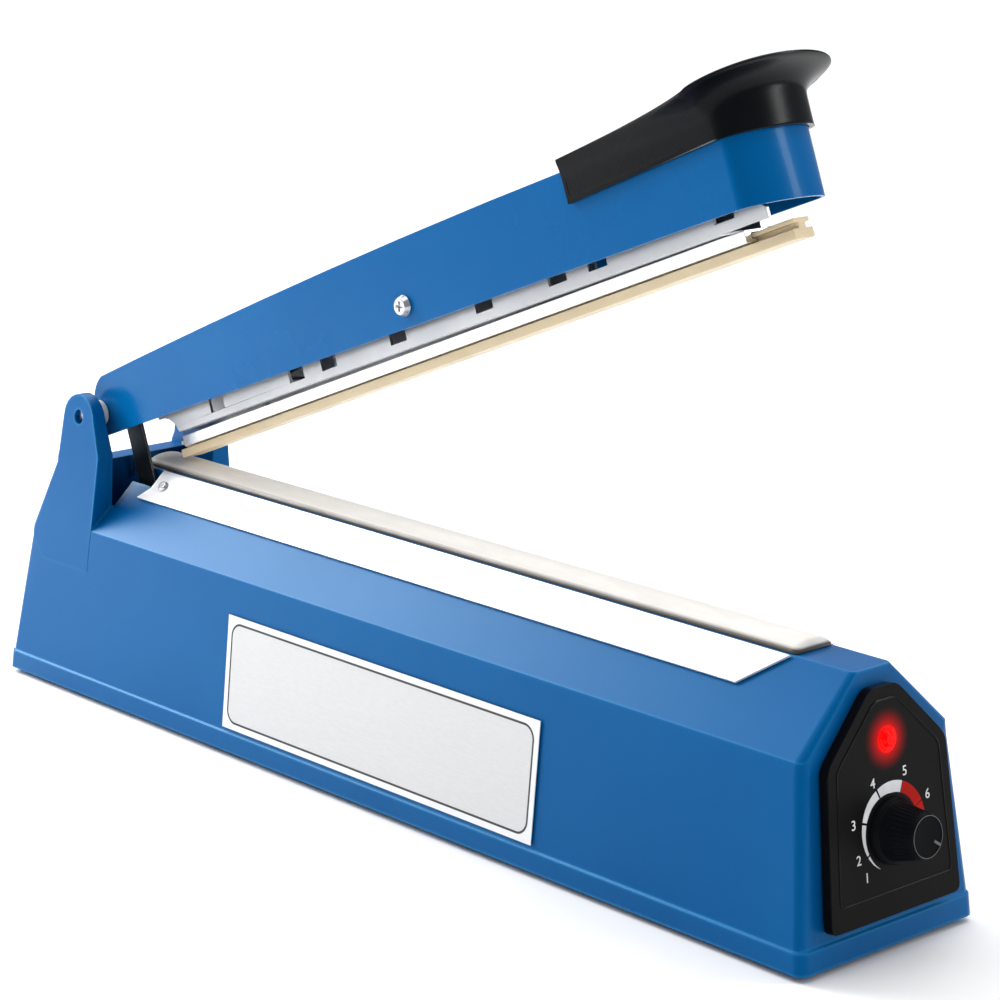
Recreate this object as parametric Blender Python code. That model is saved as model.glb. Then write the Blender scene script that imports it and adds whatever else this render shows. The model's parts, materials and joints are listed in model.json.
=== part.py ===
"""Impulse heat sealer for 300 mm bags, standing on its feet with the sealing arm raised.

Lengths are in millimetres in the code and become metres when a mesh is made.
The object's frame has +X along the body towards the dial, +Y towards the far side and +Z up.
Empties carry the parts: the body, the arm on its hinge pin, the pressure bar on its pivot
screw, the dial panel, the knob on its shaft, the lever of the arm switch and the cord inlet.
"""
import math

import bmesh
import bpy
from mathutils import Matrix, Vector

MM = 0.001
GAP = 0.3                      # clearance kept between pieces that touch

# Body shell, seen from its bottom centre
BODY_LENGTH = 450.0
BODY_WIDTH = 84.0
WALL = 2.5
PLINTH_HEIGHT = 8.0
PLINTH_STEP = 0.8
REAR_BREAK_Z = 62.0            # the rear face leans in more above this height
SHOULDER_Z = 67.0
RIDGE_Z = 91.0
SHOULDER_HALF = 35.2
RIDGE_HALF = 9.1
CORNER_RADIUS = 4.0
SHOULDER_RADIUS = 3.5
RIDGE_RADIUS = 2.2
FRONT_LEAN = math.radians(7.0)
REAR_LEAN_X = 11.6             # how far the rear face has come in at REAR_BREAK_Z
REAR_TOP_LEAN = 0.548          # mm in per mm up, above REAR_BREAK_Z
FOOT_DROP = 2.0                # the feet reach this far below the shell
FOOT_X = 205.0
FOOT_Y = 31.0

# Hinge ears and the well between them
PIN_X = -183.2
PIN_Z = 111.4
EAR_RADIUS = 10.3
EAR_TOP_Z = 120.5
EAR_FRONT_X = -168.4
EAR_THROAT_Z = 97.0
EAR_INNER_Y = 25.0
WELL_REAR_X = -188.0
WELL_FRONT_X = -166.0
WELL_FLOOR_Z = 68.0
ROOF_ROOM_REAR_X = -165.5      # inner wall between the well and the room under the roof
PIN_RADIUS = 2.7
PIN_HOLE_RADIUS = 3.0

# Heating jaw on the ridge
JAW_REAR_X = -166.0
JAW_FRONT_X = 186.5
BAND_REAR_X = -158.0           # where the heating band turns down through the ridge
BAND_FRONT_X = 182.0
JAW_HALF = 8.8
JAW_TOP_Z = 95.1
PLATE_LOW_Y = 20.6
PLATE_TOP_Y = 9.7
PLATE_THICKNESS = 1.0

# Arm, in its own frame: u runs from the pin to the nose, v is up
ARM_TILT = math.radians(20.6)
ARM_HALF = 19.5
ARM_WALL = 1.4
ARM_LOW = -9.5
ARM_REAR = -4.4
ARM_OPEN_TO = 8.5              # the rear end is open below this height, clear of the spring
ARM_NOSE_CENTRE = 372.5
NOSE_REACH = 9.5               # the nose is half an oval this long, as wide as the arm
PIVOT_U = 203.1
PIVOT_V = -1.6
BAR_SLANT = math.radians(0.66)   # the sprung bar hangs slightly nose up against the arm
SEAL_DROP = 22.6                 # from the pivot screw down to the sealing face

# Grip
GRIP_REAR = 300.5
GRIP_SKIRT = 2.0
GRIP_LOW = 11.0
GRIP_LOW_RISE = 0.03        # mm up per mm forwards, for the skirt's lower edge
GRIP_TOP_REAR = 26.3
GRIP_RISE = 0.050            # the same for the top edge
GRIP_LIP_LIFT = 4.5          # the top edge sweeps up this much more round the nose
GRIP_FLARE = 10.0
GRIP_FLARE_POWER = 3.0       # how late along the grip the flare comes in

# Dial
PANEL_PROUD = 4.0
DIAL_Z = 38.6
KNOB_LENGTH = 14.6
KNOB_BASE_RADIUS = 11.0
KNOB_FACE_RADIUS = 7.4
LAMP_Z = 68.4

# Cord inlet
INLET_Z = 28.0
INLET_NECK_RADIUS = 5.7
INLET_BORE_RADIUS = 4.2

BLUE = (0.0, 0.16, 0.47)
DARK = (0.012, 0.012, 0.014)


# ---------------------------------------------------------------- frame of the whole object

def front_x(z):
    """Outer X of the leaning dial end at height z."""
    return BODY_LENGTH / 2 - math.tan(FRONT_LEAN) * z


def rear_x(z):
    """Outer X of the rear face at height z."""
    if z <= REAR_BREAK_Z:
        return -BODY_LENGTH / 2 + REAR_LEAN_X * z / REAR_BREAK_Z
    return -BODY_LENGTH / 2 + REAR_LEAN_X + REAR_TOP_LEAN * (z - REAR_BREAK_Z)


def side_half(z):
    """Half the outer width of the drafted sides at height z, up to the tops of the ears."""
    low = BODY_WIDTH / 2 - PLINTH_STEP
    return low - (low - SHOULDER_HALF) * (z - PLINTH_HEIGHT) / (SHOULDER_Z - PLINTH_HEIGHT)


def knob_tip_x():
    """Outermost X of the knob, which sets the front of the bounding box."""
    face = front_x(DIAL_Z) + (PANEL_PROUD + GAP + KNOB_LENGTH) * math.cos(FRONT_LEAN)
    return face + KNOB_FACE_RADIUS * math.sin(FRONT_LEAN) - 0.55


REAR_REACH = -226.6              # outermost X of the cord inlet's flange
FRAME_X = -(knob_tip_x() + REAR_REACH) / 2


# ---------------------------------------------------------------- scene helpers

def clear_scene():
    for item in list(bpy.data.objects):
        bpy.data.objects.remove(item, do_unlink=True)


def material(name, colour, roughness, metallic=0.0):
    """Principled material, made once for each name."""
    known = bpy.data.materials.get(name)
    if known:
        return known
    mat = bpy.data.materials.new(name)
    mat.use_nodes = True
    shader = mat.node_tree.nodes["Principled BSDF"]
    shader.inputs["Base Color"].default_value = (*colour, 1.0)
    shader.inputs["Roughness"].default_value = roughness
    shader.inputs["Metallic"].default_value = metallic
    return mat


def empty(name, parent=None, location=(0, 0, 0), tilt=0.0):
    """Empty at a place in millimetres, turned by tilt about its parent's Y axis."""
    item = bpy.data.objects.new(name, None)
    bpy.context.collection.objects.link(item)
    item.parent = parent
    item.location = Vector(location) * MM
    item.rotation_euler = (0, tilt, 0)
    return item


def link_mesh(name, bm, parent, mat):
    """Make an object from a bmesh in millimetres and hang it on a parent."""
    bmesh.ops.recalc_face_normals(bm, faces=bm.faces)
    if bm.calc_volume(signed=True) < 0:
        bmesh.ops.reverse_faces(bm, faces=bm.faces)
    bmesh.ops.scale(bm, vec=(MM, MM, MM), verts=bm.verts)
    mesh = bpy.data.meshes.new(name)
    bm.to_mesh(mesh)
    bm.free()
    item = bpy.data.objects.new(name, mesh)
    bpy.context.collection.objects.link(item)
    item.parent = parent
    if mat:
        mesh.materials.append(mat)
    return item


def boolean(target, tool, operation):
    """Apply a Boolean to target and drop the tool; both share one parent."""
    modifier = target.modifiers.new("cut", "BOOLEAN")
    modifier.operation = operation
    modifier.solver = "EXACT"
    modifier.object = tool
    bpy.context.view_layer.update()
    evaluated = target.evaluated_get(bpy.context.evaluated_depsgraph_get())
    mesh = bpy.data.meshes.new_from_object(evaluated)
    old = target.data
    target.modifiers.clear()
    target.data = mesh
    mesh.name = target.name
    bpy.data.meshes.remove(old)
    bpy.data.objects.remove(tool, do_unlink=True)
    return target


def cut(target, *tools):
    for tool in tools:
        boolean(target, tool, "DIFFERENCE")
    return target


def join(target, *tools):
    for tool in tools:
        boolean(target, tool, "UNION")
    return target


def smooth(item, angle=35.0):
    item.data.shade_smooth()
    item.data.set_sharp_from_angle(angle=math.radians(angle))
    return item


# ---------------------------------------------------------------- shape helpers

def box(name, low, high, parent=None, mat=None):
    bm = bmesh.new()
    bmesh.ops.create_cube(bm, size=1.0)
    low = Vector(low)
    high = Vector(high)
    for vert in bm.verts:
        vert.co = Vector((low[i] + (vert.co[i] + 0.5) * (high[i] - low[i]) for i in range(3)))
    return link_mesh(name, bm, parent, mat)


def loft(name, rings, parent=None, mat=None):
    """Closed solid through rings of equal point counts, capped at both ends."""
    bm = bmesh.new()
    rows = [[bm.verts.new(point) for point in ring] for ring in rings]
    for lower, upper in zip(rows, rows[1:]):
        count = len(lower)
        for i in range(count):
            j = (i + 1) % count
            bm.faces.new((lower[i], lower[j], upper[j], upper[i]))
    bm.faces.new(rows[0])
    bm.faces.new(rows[-1])
    return link_mesh(name, bm, parent, mat)


def prism(name, outline, axis, low, high, parent=None, mat=None):
    """Extrude an outline of 2D points along an axis; the points use the other two axes."""
    def place(point, depth):
        coords = list(point)
        coords.insert("XYZ".index(axis), depth)
        return coords

    return loft(name, [[place(p, low) for p in outline], [place(p, high) for p in outline]],
                parent, mat)


def rod(name, start, end, radius, segments=24, parent=None, mat=None, end_radius=None):
    """Round bar or cone between two points."""
    start = Vector(start)
    axis = Vector(end) - start
    bm = bmesh.new()
    bmesh.ops.create_cone(bm, cap_ends=True, segments=segments, radius1=radius,
                          radius2=radius if end_radius is None else end_radius,
                          depth=axis.length)
    turn = axis.to_track_quat("Z", "Y").to_matrix().to_4x4()
    bm.transform(Matrix.Translation(start + axis / 2) @ turn)
    return smooth(link_mesh(name, bm, parent, mat))


def ring(name, start, end, outer, inner, segments=24, parent=None, mat=None):
    """Bush, washer or sleeve between two points."""
    start = Vector(start)
    end = Vector(end)
    step = (end - start).normalized()
    body = rod(name, start, end, outer, segments, parent, mat)
    cut(body, rod("bore", start - step, end + step, inner, segments, parent))
    return smooth(body)


def arc(centre, radius, start, end, steps):
    """Points on an arc, angles in degrees."""
    points = []
    for i in range(steps + 1):
        angle = math.radians(start + (end - start) * i / steps)
        points.append((centre[0] + radius * math.cos(angle), centre[1] + radius * math.sin(angle)))
    return points


def rounded_rectangle(x0, x1, half, radius, steps=4):
    """Outline with round corners, X from x0 to x1, Y from -half to half."""
    points = arc((x1 - radius, half - radius), radius, 0, 90, steps)
    points += arc((x0 + radius, half - radius), radius, 90, 180, steps)
    points += arc((x0 + radius, -half + radius), radius, 180, 270, steps)
    points += arc((x1 - radius, -half + radius), radius, 270, 360, steps)
    return points


def smooth_route(points, spacing):
    """Points along a Catmull-Rom curve through the route's own points."""
    points = [Vector(p) for p in points]
    points = [2 * points[0] - points[1]] + points + [2 * points[-1] - points[-2]]
    result = []
    for a, b, c, d in zip(points, points[1:], points[2:], points[3:]):
        steps = max(2, round((c - b).length / spacing))
        for i in range(steps):
            t = i / steps
            result.append(0.5 * (2 * b + (c - a) * t + (2 * a - 5 * b + 4 * c - d) * t ** 2
                                 + (3 * b - a - 3 * c + d) * t ** 3))
    result.append(points[-2])
    return result


def wire(name, points, radius, parent, mat, spacing=6.0, smoothed=True):
    """Round tube with filled caps along a route."""
    curve = bpy.data.curves.new(name, "CURVE")
    curve.dimensions = "3D"
    curve.bevel_depth = radius * MM
    curve.bevel_resolution = 2
    curve.use_fill_caps = True
    path = smooth_route(points, spacing) if smoothed else points
    spline = curve.splines.new("POLY")
    spline.points.add(len(path) - 1)
    for point, place in zip(spline.points, path):
        point.co = (*(Vector(place) * MM), 1.0)
    curve.materials.append(mat)
    item = bpy.data.objects.new(name, curve)
    bpy.context.collection.objects.link(item)
    item.parent = parent
    return item


# ---------------------------------------------------------------- body shell

def hull_ring(z, inset=0.0, half=None, radius=CORNER_RADIUS, rear=None):
    """One level of the body's outside, or of its inside with an inset."""
    half = side_half(z) if half is None else half
    rear = rear_x(z) if rear is None else rear
    outline = rounded_rectangle(rear + inset, front_x(z) - inset, half - inset,
                                max(radius - inset, 0.8))
    return [(x, y, z) for x, y in outline]


def body_hull(base):
    """Plinth, drafted sides and the roof up to the ridge, as one solid."""
    plinth = BODY_WIDTH / 2
    rings = [hull_ring(0.0, 0.0, plinth), hull_ring(PLINTH_HEIGHT - 0.6, 0.0, plinth - 0.1),
             hull_ring(PLINTH_HEIGHT, PLINTH_STEP, plinth),
             hull_ring(REAR_BREAK_Z, PLINTH_STEP * 0.3, side_half(REAR_BREAK_Z) + 0.24),
             hull_ring(SHOULDER_Z, 0.0, SHOULDER_HALF, SHOULDER_RADIUS),
             hull_ring(RIDGE_Z, 0.0, RIDGE_HALF, RIDGE_RADIUS)]
    return loft("housing", rings, base, material("blue_plastic", BLUE, 0.35))


def ear_block(base):
    """Hinge block across the rear, drafted with the sides, before the well is cut."""
    top = EAR_TOP_Z - EAR_RADIUS
    outline = [(-204.0, 50.0), (rear_x(REAR_BREAK_Z) - 0.5, REAR_BREAK_Z),
               (rear_x(RIDGE_Z) - 0.5, RIDGE_Z), (-195.7, 95.0)]
    outline += arc((PIN_X, top), EAR_RADIUS, 176, 4, 10)
    outline += [(EAR_FRONT_X, EAR_THROAT_Z), (-170.7, 66.0), (-172.0, 50.0)]
    block = prism("ears", outline, "Y", -45.0, 45.0, base)
    rings = []
    for z, radius in ((40.0, CORNER_RADIUS), (REAR_BREAK_Z, CORNER_RADIUS), (RIDGE_Z, 2.0),
                      (130.0, 1.5)):
        rear = rear_x(min(z, RIDGE_Z)) - 0.15
        outline = rounded_rectangle(rear, -120.0, side_half(z) + 0.15, radius)
        rings.append([(x, y, z) for x, y in outline])
    return boolean(block, loft("corners", rings, base), "INTERSECT")


def body_cavity(base):
    """Everything inside the walls: a lower room and the roof room ahead of the well."""
    plinth = BODY_WIDTH / 2
    lower = loft("room", [hull_ring(-1.0, WALL, plinth),
                          hull_ring(PLINTH_HEIGHT, WALL + PLINTH_STEP, plinth),
                          hull_ring(REAR_BREAK_Z, WALL)], base)
    wall = ROOF_ROOM_REAR_X
    roof = [hull_ring(REAR_BREAK_Z - 2, WALL, None, CORNER_RADIUS, wall),
            hull_ring(SHOULDER_Z - 1, WALL, SHOULDER_HALF, SHOULDER_RADIUS, wall),
            hull_ring(RIDGE_Z - WALL, WALL, RIDGE_HALF + 0.9, RIDGE_RADIUS, wall)]
    return lower, loft("roof_room", roof, base)


def screw_places():
    """Centres of the four feet and their screws."""
    return [(f"{end}_{side}", x, y) for end, x in (("rear", -FOOT_X), ("front", FOOT_X))
            for side, y in (("near", -FOOT_Y), ("far", FOOT_Y))]


def switch_slot(base):
    """Slot in the well's floor and roof that the arm's striker passes through."""
    return box("slot", (-180.0, -15.6, 40.0), (-154.5, -9.4, 100.0), base)


def dial_cutters(base):
    """Holes in the dial end for the shaft bush and the lamp."""
    lean = Vector((math.cos(FRONT_LEAN), 0, math.sin(FRONT_LEAN)))
    cutters = []
    for z, radius in ((DIAL_Z, 5.0), (LAMP_Z, 4.0)):
        point = Vector((front_x(z), 0, z))
        cutters.append(rod("hole", point - lean * 8, point + lean * 6, radius, 20, base))
    return cutters


def housing(base):
    """One-piece moulded shell, open underneath."""
    shell = body_hull(base)
    join(shell, ear_block(base))
    cut(shell, box("saddle", (-230.0, -EAR_INNER_Y, RIDGE_Z - 0.6),
                   (WELL_FRONT_X, EAR_INNER_Y, 140.0), base))
    cut(shell, box("well", (WELL_REAR_X, -EAR_INNER_Y, WELL_FLOOR_Z),
                   (WELL_FRONT_X - 2.4, EAR_INNER_Y, 140.0), base))
    lower, roof = body_cavity(base)
    cut(shell, lower, roof)
    for _, x, y in screw_places():
        post = rod("post", (x, y, 2.1), (x, y, 60.5), 4.8, 12, base)
        join(shell, post)
        cut(shell, rod("pilot", (x, y, 0.0), (x, y, 17.0), 2.0, 12, base))
    cut(shell, switch_slot(base))
    for x in (BAND_REAR_X, BAND_FRONT_X):
        cut(shell, box("element_slot", (x - 1.3, -3.2, 80.0), (x + 1.3, 3.2, 100.0), base))
    cut(shell, rod("pin_hole", (PIN_X, -45, PIN_Z), (PIN_X, 45, PIN_Z), PIN_HOLE_RADIUS, 24, base))
    cut(shell, *dial_cutters(base))
    cut(shell, rod("inlet_hole", (-235, 0, INLET_Z), (-205, 0, INLET_Z),
                   INLET_NECK_RADIUS + 0.6, 20, base))
    return smooth(shell, 30.0)


def underside(base):
    """Bottom plate with its four feet and their screws."""
    steel = material("zinc_steel", (0.55, 0.56, 0.58), 0.35, 1.0)
    rubber = material("black_rubber", DARK, 0.7)
    outline = rounded_rectangle(-221.0, 221.0, 38.4, 3.0, 3)
    plate = prism("bottom_plate", outline, "Z", 0.6, 1.8, base, steel)
    for _, x, y in screw_places():
        cut(plate, rod("hole", (x, y, -1), (x, y, 3), 2.1, 12, base))
    for name, x, y in screw_places():
        foot = rod(f"foot_{name}", (x, y, -FOOT_DROP), (x, y, 0.3), 6.0, 20, base, rubber, 6.8)
        cut(foot, rod("hole", (x, y, -4), (x, y, 3), 2.1, 12, base))
        cut(foot, rod("sink", (x, y, -4), (x, y, -0.5), 4.0, 16, base))
        smooth(foot)
        screw = rod(f"foot_screw_{name}", (x, y, -1.3), (x, y, 15.0), 1.7, 12, base, steel)
        join(screw, rod("head", (x, y, -1.6), (x, y, -0.8), 3.5, 16, base))
        smooth(screw)


def side_label(base):
    """Blank rating label on the near side, just above the plinth."""
    outline = [(-76.0, 9.6), (99.0, 9.6), (99.0, 53.2), (-76.0, 53.2)]
    rings = []
    for offset in (GAP, 2 * GAP):
        rings.append([(x, -(side_half(z) + 0.3 + offset), z) for x, z in outline])
    loft("side_label", rings, base, material("label_film", (0.75, 0.75, 0.74), 0.45))


def cord_inlet(base):
    """Bush for the mains cord in the rear wall, on an axis square to the leaning face."""
    lean = math.atan(REAR_LEAN_X / REAR_BREAK_Z)
    frame = empty("inlet_frame", base, (rear_x(INLET_Z), 0, INLET_Z), lean)
    black = material("black_plastic", DARK, 0.45)
    flange = rod("cord_inlet", (-1.3, 0, 0), (-5.2, 0, 0), 9.0, 24, frame, black, 7.4)
    join(flange, rod("neck", (-3.0, 0, 0), (5.5, 0, 0), INLET_NECK_RADIUS, 24, frame))
    cut(flange, rod("bore", (-12, 0, 0), (12, 0, 0), INLET_BORE_RADIUS, 20, frame))
    smooth(flange)


# ---------------------------------------------------------------- heating jaw

def slope_point(x, y, lift):
    """Point over the near roof slope at a given Y, raised square to the slope."""
    run = SHOULDER_HALF - RIDGE_HALF
    rise = RIDGE_Z - SHOULDER_Z
    length = math.hypot(run, rise)
    z = RIDGE_Z - (abs(y) - RIDGE_HALF) * rise / run
    side = -1 if y < 0 else 1
    return (x, y + side * lift * rise / length, z + lift * run / length)


def cover_plate(name, side, base):
    """Sheet cover on a roof slope that clamps the cloth along the jaw."""
    low, top = PLATE_LOW_Y * side, PLATE_TOP_Y * side
    slot = 16.4 * side
    outline = [(-157.6, low), (174.0, low), (188.0, top), (-161.0 if side > 0 else -153.6, top)]
    if side < 0:
        outline.append((-153.6, slot))
    rings = []
    for lift in (GAP, GAP + PLATE_THICKNESS):
        rings.append([slope_point(x, y, lift) for x, y in outline])
    return loft(name, rings, base, material("bright_aluminium", (0.8, 0.8, 0.8), 0.3, 1.0))


def plate_screw(name, x, side, base):
    """Small screw near the rear end of a cover plate."""
    y = side * 15.0
    start = Vector(slope_point(x, y, GAP + PLATE_THICKNESS + GAP))
    end = Vector(slope_point(x, y, GAP + PLATE_THICKNESS + GAP + 1.0))
    steel = material("zinc_steel", (0.55, 0.56, 0.58), 0.35, 1.0)
    rod(name, start, end, 2.4, 16, base, steel, 1.9)


def half_oval(half, top, bottom, steps):
    """Arch outline in Y and Z from the far foot over the top to the near foot."""
    return [(half * math.cos(math.radians(a)), bottom + (top - bottom) * math.sin(math.radians(a)))
            for a in (180.0 * i / steps for i in range(steps + 1))]


def heating_jaw(base):
    """Rail, insulation, heating band and the cloth arched over them."""
    floor = RIDGE_Z + GAP
    rail = box("heating_rail", (JAW_REAR_X + 2, -5.4, floor), (JAW_FRONT_X - 2, 5.4, floor + 1.5),
               base, material("bright_aluminium", (0.8, 0.8, 0.8), 0.3, 1.0))
    for x in (BAND_REAR_X, BAND_FRONT_X):
        cut(rail, box("slot", (x - 1.3, -3.2, 80.0), (x + 1.3, 3.2, 100.0), base))
    box("insulation_strip", (BAND_REAR_X + 2.4, -4.0, floor + 1.8),
        (BAND_FRONT_X - 2.5, 4.0, floor + 2.2), base, material("glass_cloth", (0.5, 0.4, 0.25), 0.8))
    rear, front = BAND_REAR_X, BAND_FRONT_X
    band = [(rear - 0.2, 80.0), (rear + 0.2, 80.0), (rear + 0.2, floor + 2.5),
            (front - 0.2, floor + 2.5), (front - 0.2, 80.0), (front + 0.2, 80.0),
            (front + 0.2, floor + 2.75), (rear - 0.2, floor + 2.75)]
    prism("heating_band", band, "Y", -1.5, 1.5, base,
          material("nichrome", (0.5, 0.48, 0.45), 0.35, 1.0))
    outer = half_oval(JAW_HALF, JAW_TOP_Z, floor, 16)
    inner = half_oval(JAW_HALF - 0.45, JAW_TOP_Z - 0.45, floor, 16)
    cloth = prism("ptfe_cloth", outer + inner[::-1], "X", JAW_REAR_X, JAW_FRONT_X, base,
                  material("ptfe_cloth", (0.7, 0.65, 0.55), 0.4))
    smooth(cloth, 50.0)
    cover_plate("cover_plate_near", -1, base)
    cover_plate("cover_plate_far", 1, base)
    plate_screw("plate_screw_near", -147.0, -1, base)
    plate_screw("plate_screw_far", -147.0, 1, base)


def element_terminals(base):
    """Brass blocks inside the ridge that hold the turned-down ends of the band."""
    brass = material("brass", (0.6, 0.42, 0.15), 0.3, 1.0)
    for name, x in (("element_terminal_rear", BAND_REAR_X), ("element_terminal_front", BAND_FRONT_X)):
        block = box(name, (x - 4.5, -5.0, 76.0), (x + 4.5, 5.0, 85.5), base, brass)
        cut(block, box("slit", (x - 0.6, -1.9, 79.4), (x + 0.6, 1.9, 90.0), base))


# ---------------------------------------------------------------- electrics

def transformer(base):
    """Laminated core on a foot plate, with the winding round its middle leg."""
    iron = material("core_iron", (0.12, 0.11, 0.10), 0.5, 0.8)
    core = box("transformer_core", (-72, -16, 5.2), (-8, 16, 58), base, iron)
    for x in (-62.0, -28.0):
        cut(core, box("window", (x, -30, 15.0), (x + 10.0, 30, 48.0), base))
    outline = rounded_rectangle(-61.6, -18.4, 25.5, 3.0, 3)
    winding = prism("transformer_winding", outline, "Z", 15.4, 47.6, base,
                    material("winding_tape", (0.55, 0.38, 0.05), 0.6))
    cut(winding, box("leg", (-52.35, -16.35, 0), (-27.65, 16.35, 60), base))
    box("transformer_foot", (-82, -16, 2.1), (2, 16, 4.9), base,
        material("zinc_steel", (0.55, 0.56, 0.58), 0.35, 1.0))


def timer_board(base):
    """Upright circuit board behind the dial with its relay and capacitor."""
    box("timer_board", (172.0, -27, 8), (173.6, 27, 58), base,
        material("circuit_board", (0.05, 0.18, 0.06), 0.5))
    box("timer_relay", (155.5, 3, 28), (171.7, 20, 46), base,
        material("relay_case", (0.02, 0.05, 0.2), 0.4))
    rod("timer_capacitor", (150.5, -13, 38), (171.7, -13, 38), 6.5, 20, base,
        material("capacitor_sleeve", (0.03, 0.03, 0.05), 0.35))


def terminal_strip(base):
    strip = box("terminal_strip", (-150, 8, 2.1), (-118, 24, 14), base,
                material("white_nylon", (0.7, 0.7, 0.66), 0.5))
    for i in range(3):
        x = -144.5 + 10.5 * i
        cut(strip, rod("well", (x, 16, 9), (x, 16, 20), 3.0, 12, base))


def arm_switch(base, lever_frame):
    """Microswitch under the well; the arm's striker presses its lever when the arm is down."""
    black = material("black_plastic", DARK, 0.45)
    steel = material("zinc_steel", (0.55, 0.56, 0.58), 0.35, 1.0)
    body = box("switch_body", (-158, -17.5, 46), (-138, -7.5, 62), base, black)
    cut(body, box("plunger_well", (-152.2, -14.2, 57.2), (-147.8, -10.8, 70), base))
    join(body, box("cheek_near", (-143.5, -17.5, 60), (-138.5, -14.8, 68), base))
    join(body, box("cheek_far", (-143.5, -10.2, 60), (-138.5, -7.5, 68), base))
    bracket = box("switch_bracket", (-160, -7.2, 2.1), (-136, -6.0, 58), base, steel)
    join(bracket, box("toe", (-160, -6.6, 2.1), (-136, 4.0, 3.4), base))
    box("switch_plunger", (-151.8, -13.8, 58.4), (-148.2, -11.2, 63.4), base,
        material("white_nylon", (0.7, 0.7, 0.66), 0.5))
    outline = [(2.2, -0.6), (-9.0, -1.0), (-15.5, 5.5), (-31.0, 12.3), (-35.5, 12.3),
               (-35.5, 13.1), (-31.0, 13.1), (-16.0, 6.6), (-9.4, 0.2), (2.2, 0.9)]
    return prism("switch_lever", outline, "Y", -2.0, 2.0, lever_frame, steel)


def wiring(base):
    """Leads inside the housing."""
    red = material("red_lead", (0.5, 0.02, 0.02), 0.45)
    blue = material("blue_lead", (0.02, 0.08, 0.4), 0.45)
    white = material("silicone_lead", (0.7, 0.68, 0.62), 0.5)
    wire("lead_primary", [(-117.6, 20, 7), (-108, 20, 9), (-94, 20, 17), (-80, 23, 26),
                          (-70, 21, 31), (-62.5, 19, 32)], 1.2, base, red)
    wire("lead_switch", [(-134, 6.8, 8), (-133, -2, 14), (-132, -12, 28), (-136, -12.5, 36),
                         (-144, -12.5, 40), (-148, -12.5, 44.2)], 1.2, base, blue)
    wire("lead_timer", [(-117.6, 11, 5), (-108, 13, 5), (-96, 26, 6), (-40, 30, 10),
                        (20, 26, 14), (90, 20, 18), (140, 12, 24), (171.2, 0, 22)], 1.2, base, blue)
    wire("lead_element_rear", [(-62.5, -18, 42), (-80, -20, 52), (-110, -14, 64),
                               (-140, -3, 76), (BAND_REAR_X + 5.2, 0, 81)], 1.5, base, white)
    wire("lead_element_front", [(-17.6, -18, 42), (10, -18, 54), (80, -10, 68), (150, -3, 78),
                                (BAND_FRONT_X - 5.2, 0, 81)], 1.5, base, white)


# ---------------------------------------------------------------- dial end

def panel_outline():
    """Panel outline in the dial frame: Y across, Z up the leaning face from the shaft."""
    corners = [(-31.0, -27.5), (31.0, -27.5), (28.2, 25.7), (6.5, 47.3), (-6.5, 47.3),
               (-28.2, 25.7)]
    return rounded_polygon(corners, 3.0, 3)


def rounded_polygon(corners, radius, steps):
    """Replace each corner by a short curve that starts radius away from it."""
    points = []
    count = len(corners)
    for i, corner in enumerate(corners):
        corner = Vector(corner)
        before = corner + (Vector(corners[i - 1]) - corner).normalized() * radius
        after = corner + (Vector(corners[(i + 1) % count]) - corner).normalized() * radius
        for step in range(steps + 1):
            t = step / steps
            points.append(tuple(before * (1 - t) ** 2 + 2 * corner * t * (1 - t) + after * t ** 2))
    return points


def dial_end(dial, knob_frame):
    """Panel, lamp, potentiometer and knob; the dial frame's +X is square to the face."""
    black = material("black_plastic", DARK, 0.45)
    steel = material("zinc_steel", (0.55, 0.56, 0.58), 0.35, 1.0)
    panel = prism("dial_panel", panel_outline(), "X", GAP, PANEL_PROUD, dial, black)
    lamp_up = (LAMP_Z - DIAL_Z) / math.cos(FRONT_LEAN)
    cut(panel, rod("bush_hole", (-5, 0, 0), (9, 0, 0), 5.6, 20, dial))
    cut(panel, rod("lamp_hole", (-5, 0, lamp_up), (9, 0, lamp_up), 4.0, 20, dial))
    lamp = rod("indicator_lamp", (-9, 0, lamp_up), (PANEL_PROUD + 0.4, 0, lamp_up), 3.6, 20, dial,
               material("red_lens", (0.6, 0.01, 0.01), 0.15))
    join(lamp, rod("dome", (PANEL_PROUD - 0.5, 0, lamp_up), (PANEL_PROUD + 1.6, 0, lamp_up), 3.59,
                   20, dial, None, 1.8))
    smooth(lamp)
    pot = rod("potentiometer", (-18, 0, 0), (-4.3, 0, 0), 8.5, 24, dial, steel)
    join(pot, rod("bush", (-6, 0, 0), (2.6, 0, 0), 4.6, 20, dial))
    cut(pot, rod("bore", (-10, 0, 0), (5, 0, 0), 3.3, 20, dial))
    smooth(pot)
    shaft = rod("dial_shaft", (-9, 0, 0), (11, 0, 0), 3.0, 20, knob_frame, steel)
    cut(shaft, box("flat", (5.0, -4, 1.6), (14, 4, 4), knob_frame))
    start = PANEL_PROUD + GAP
    knob = rod("timer_knob", (start, 0, 0), (start + 3.0, 0, 0), KNOB_BASE_RADIUS, 40, knob_frame,
               black, KNOB_BASE_RADIUS - 0.6)
    join(knob, rod("cap", (start + 2.0, 0, 0), (start + KNOB_LENGTH, 0, 0), 9.9, 40, knob_frame,
                   None, KNOB_FACE_RADIUS))
    cut(knob, rod("socket", (start - 5, 0, 0), (12.0, 0, 0), 3.4, 20, knob_frame))
    cut(knob, pointer_notch(knob_frame, start + KNOB_LENGTH))
    smooth(knob)


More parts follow.
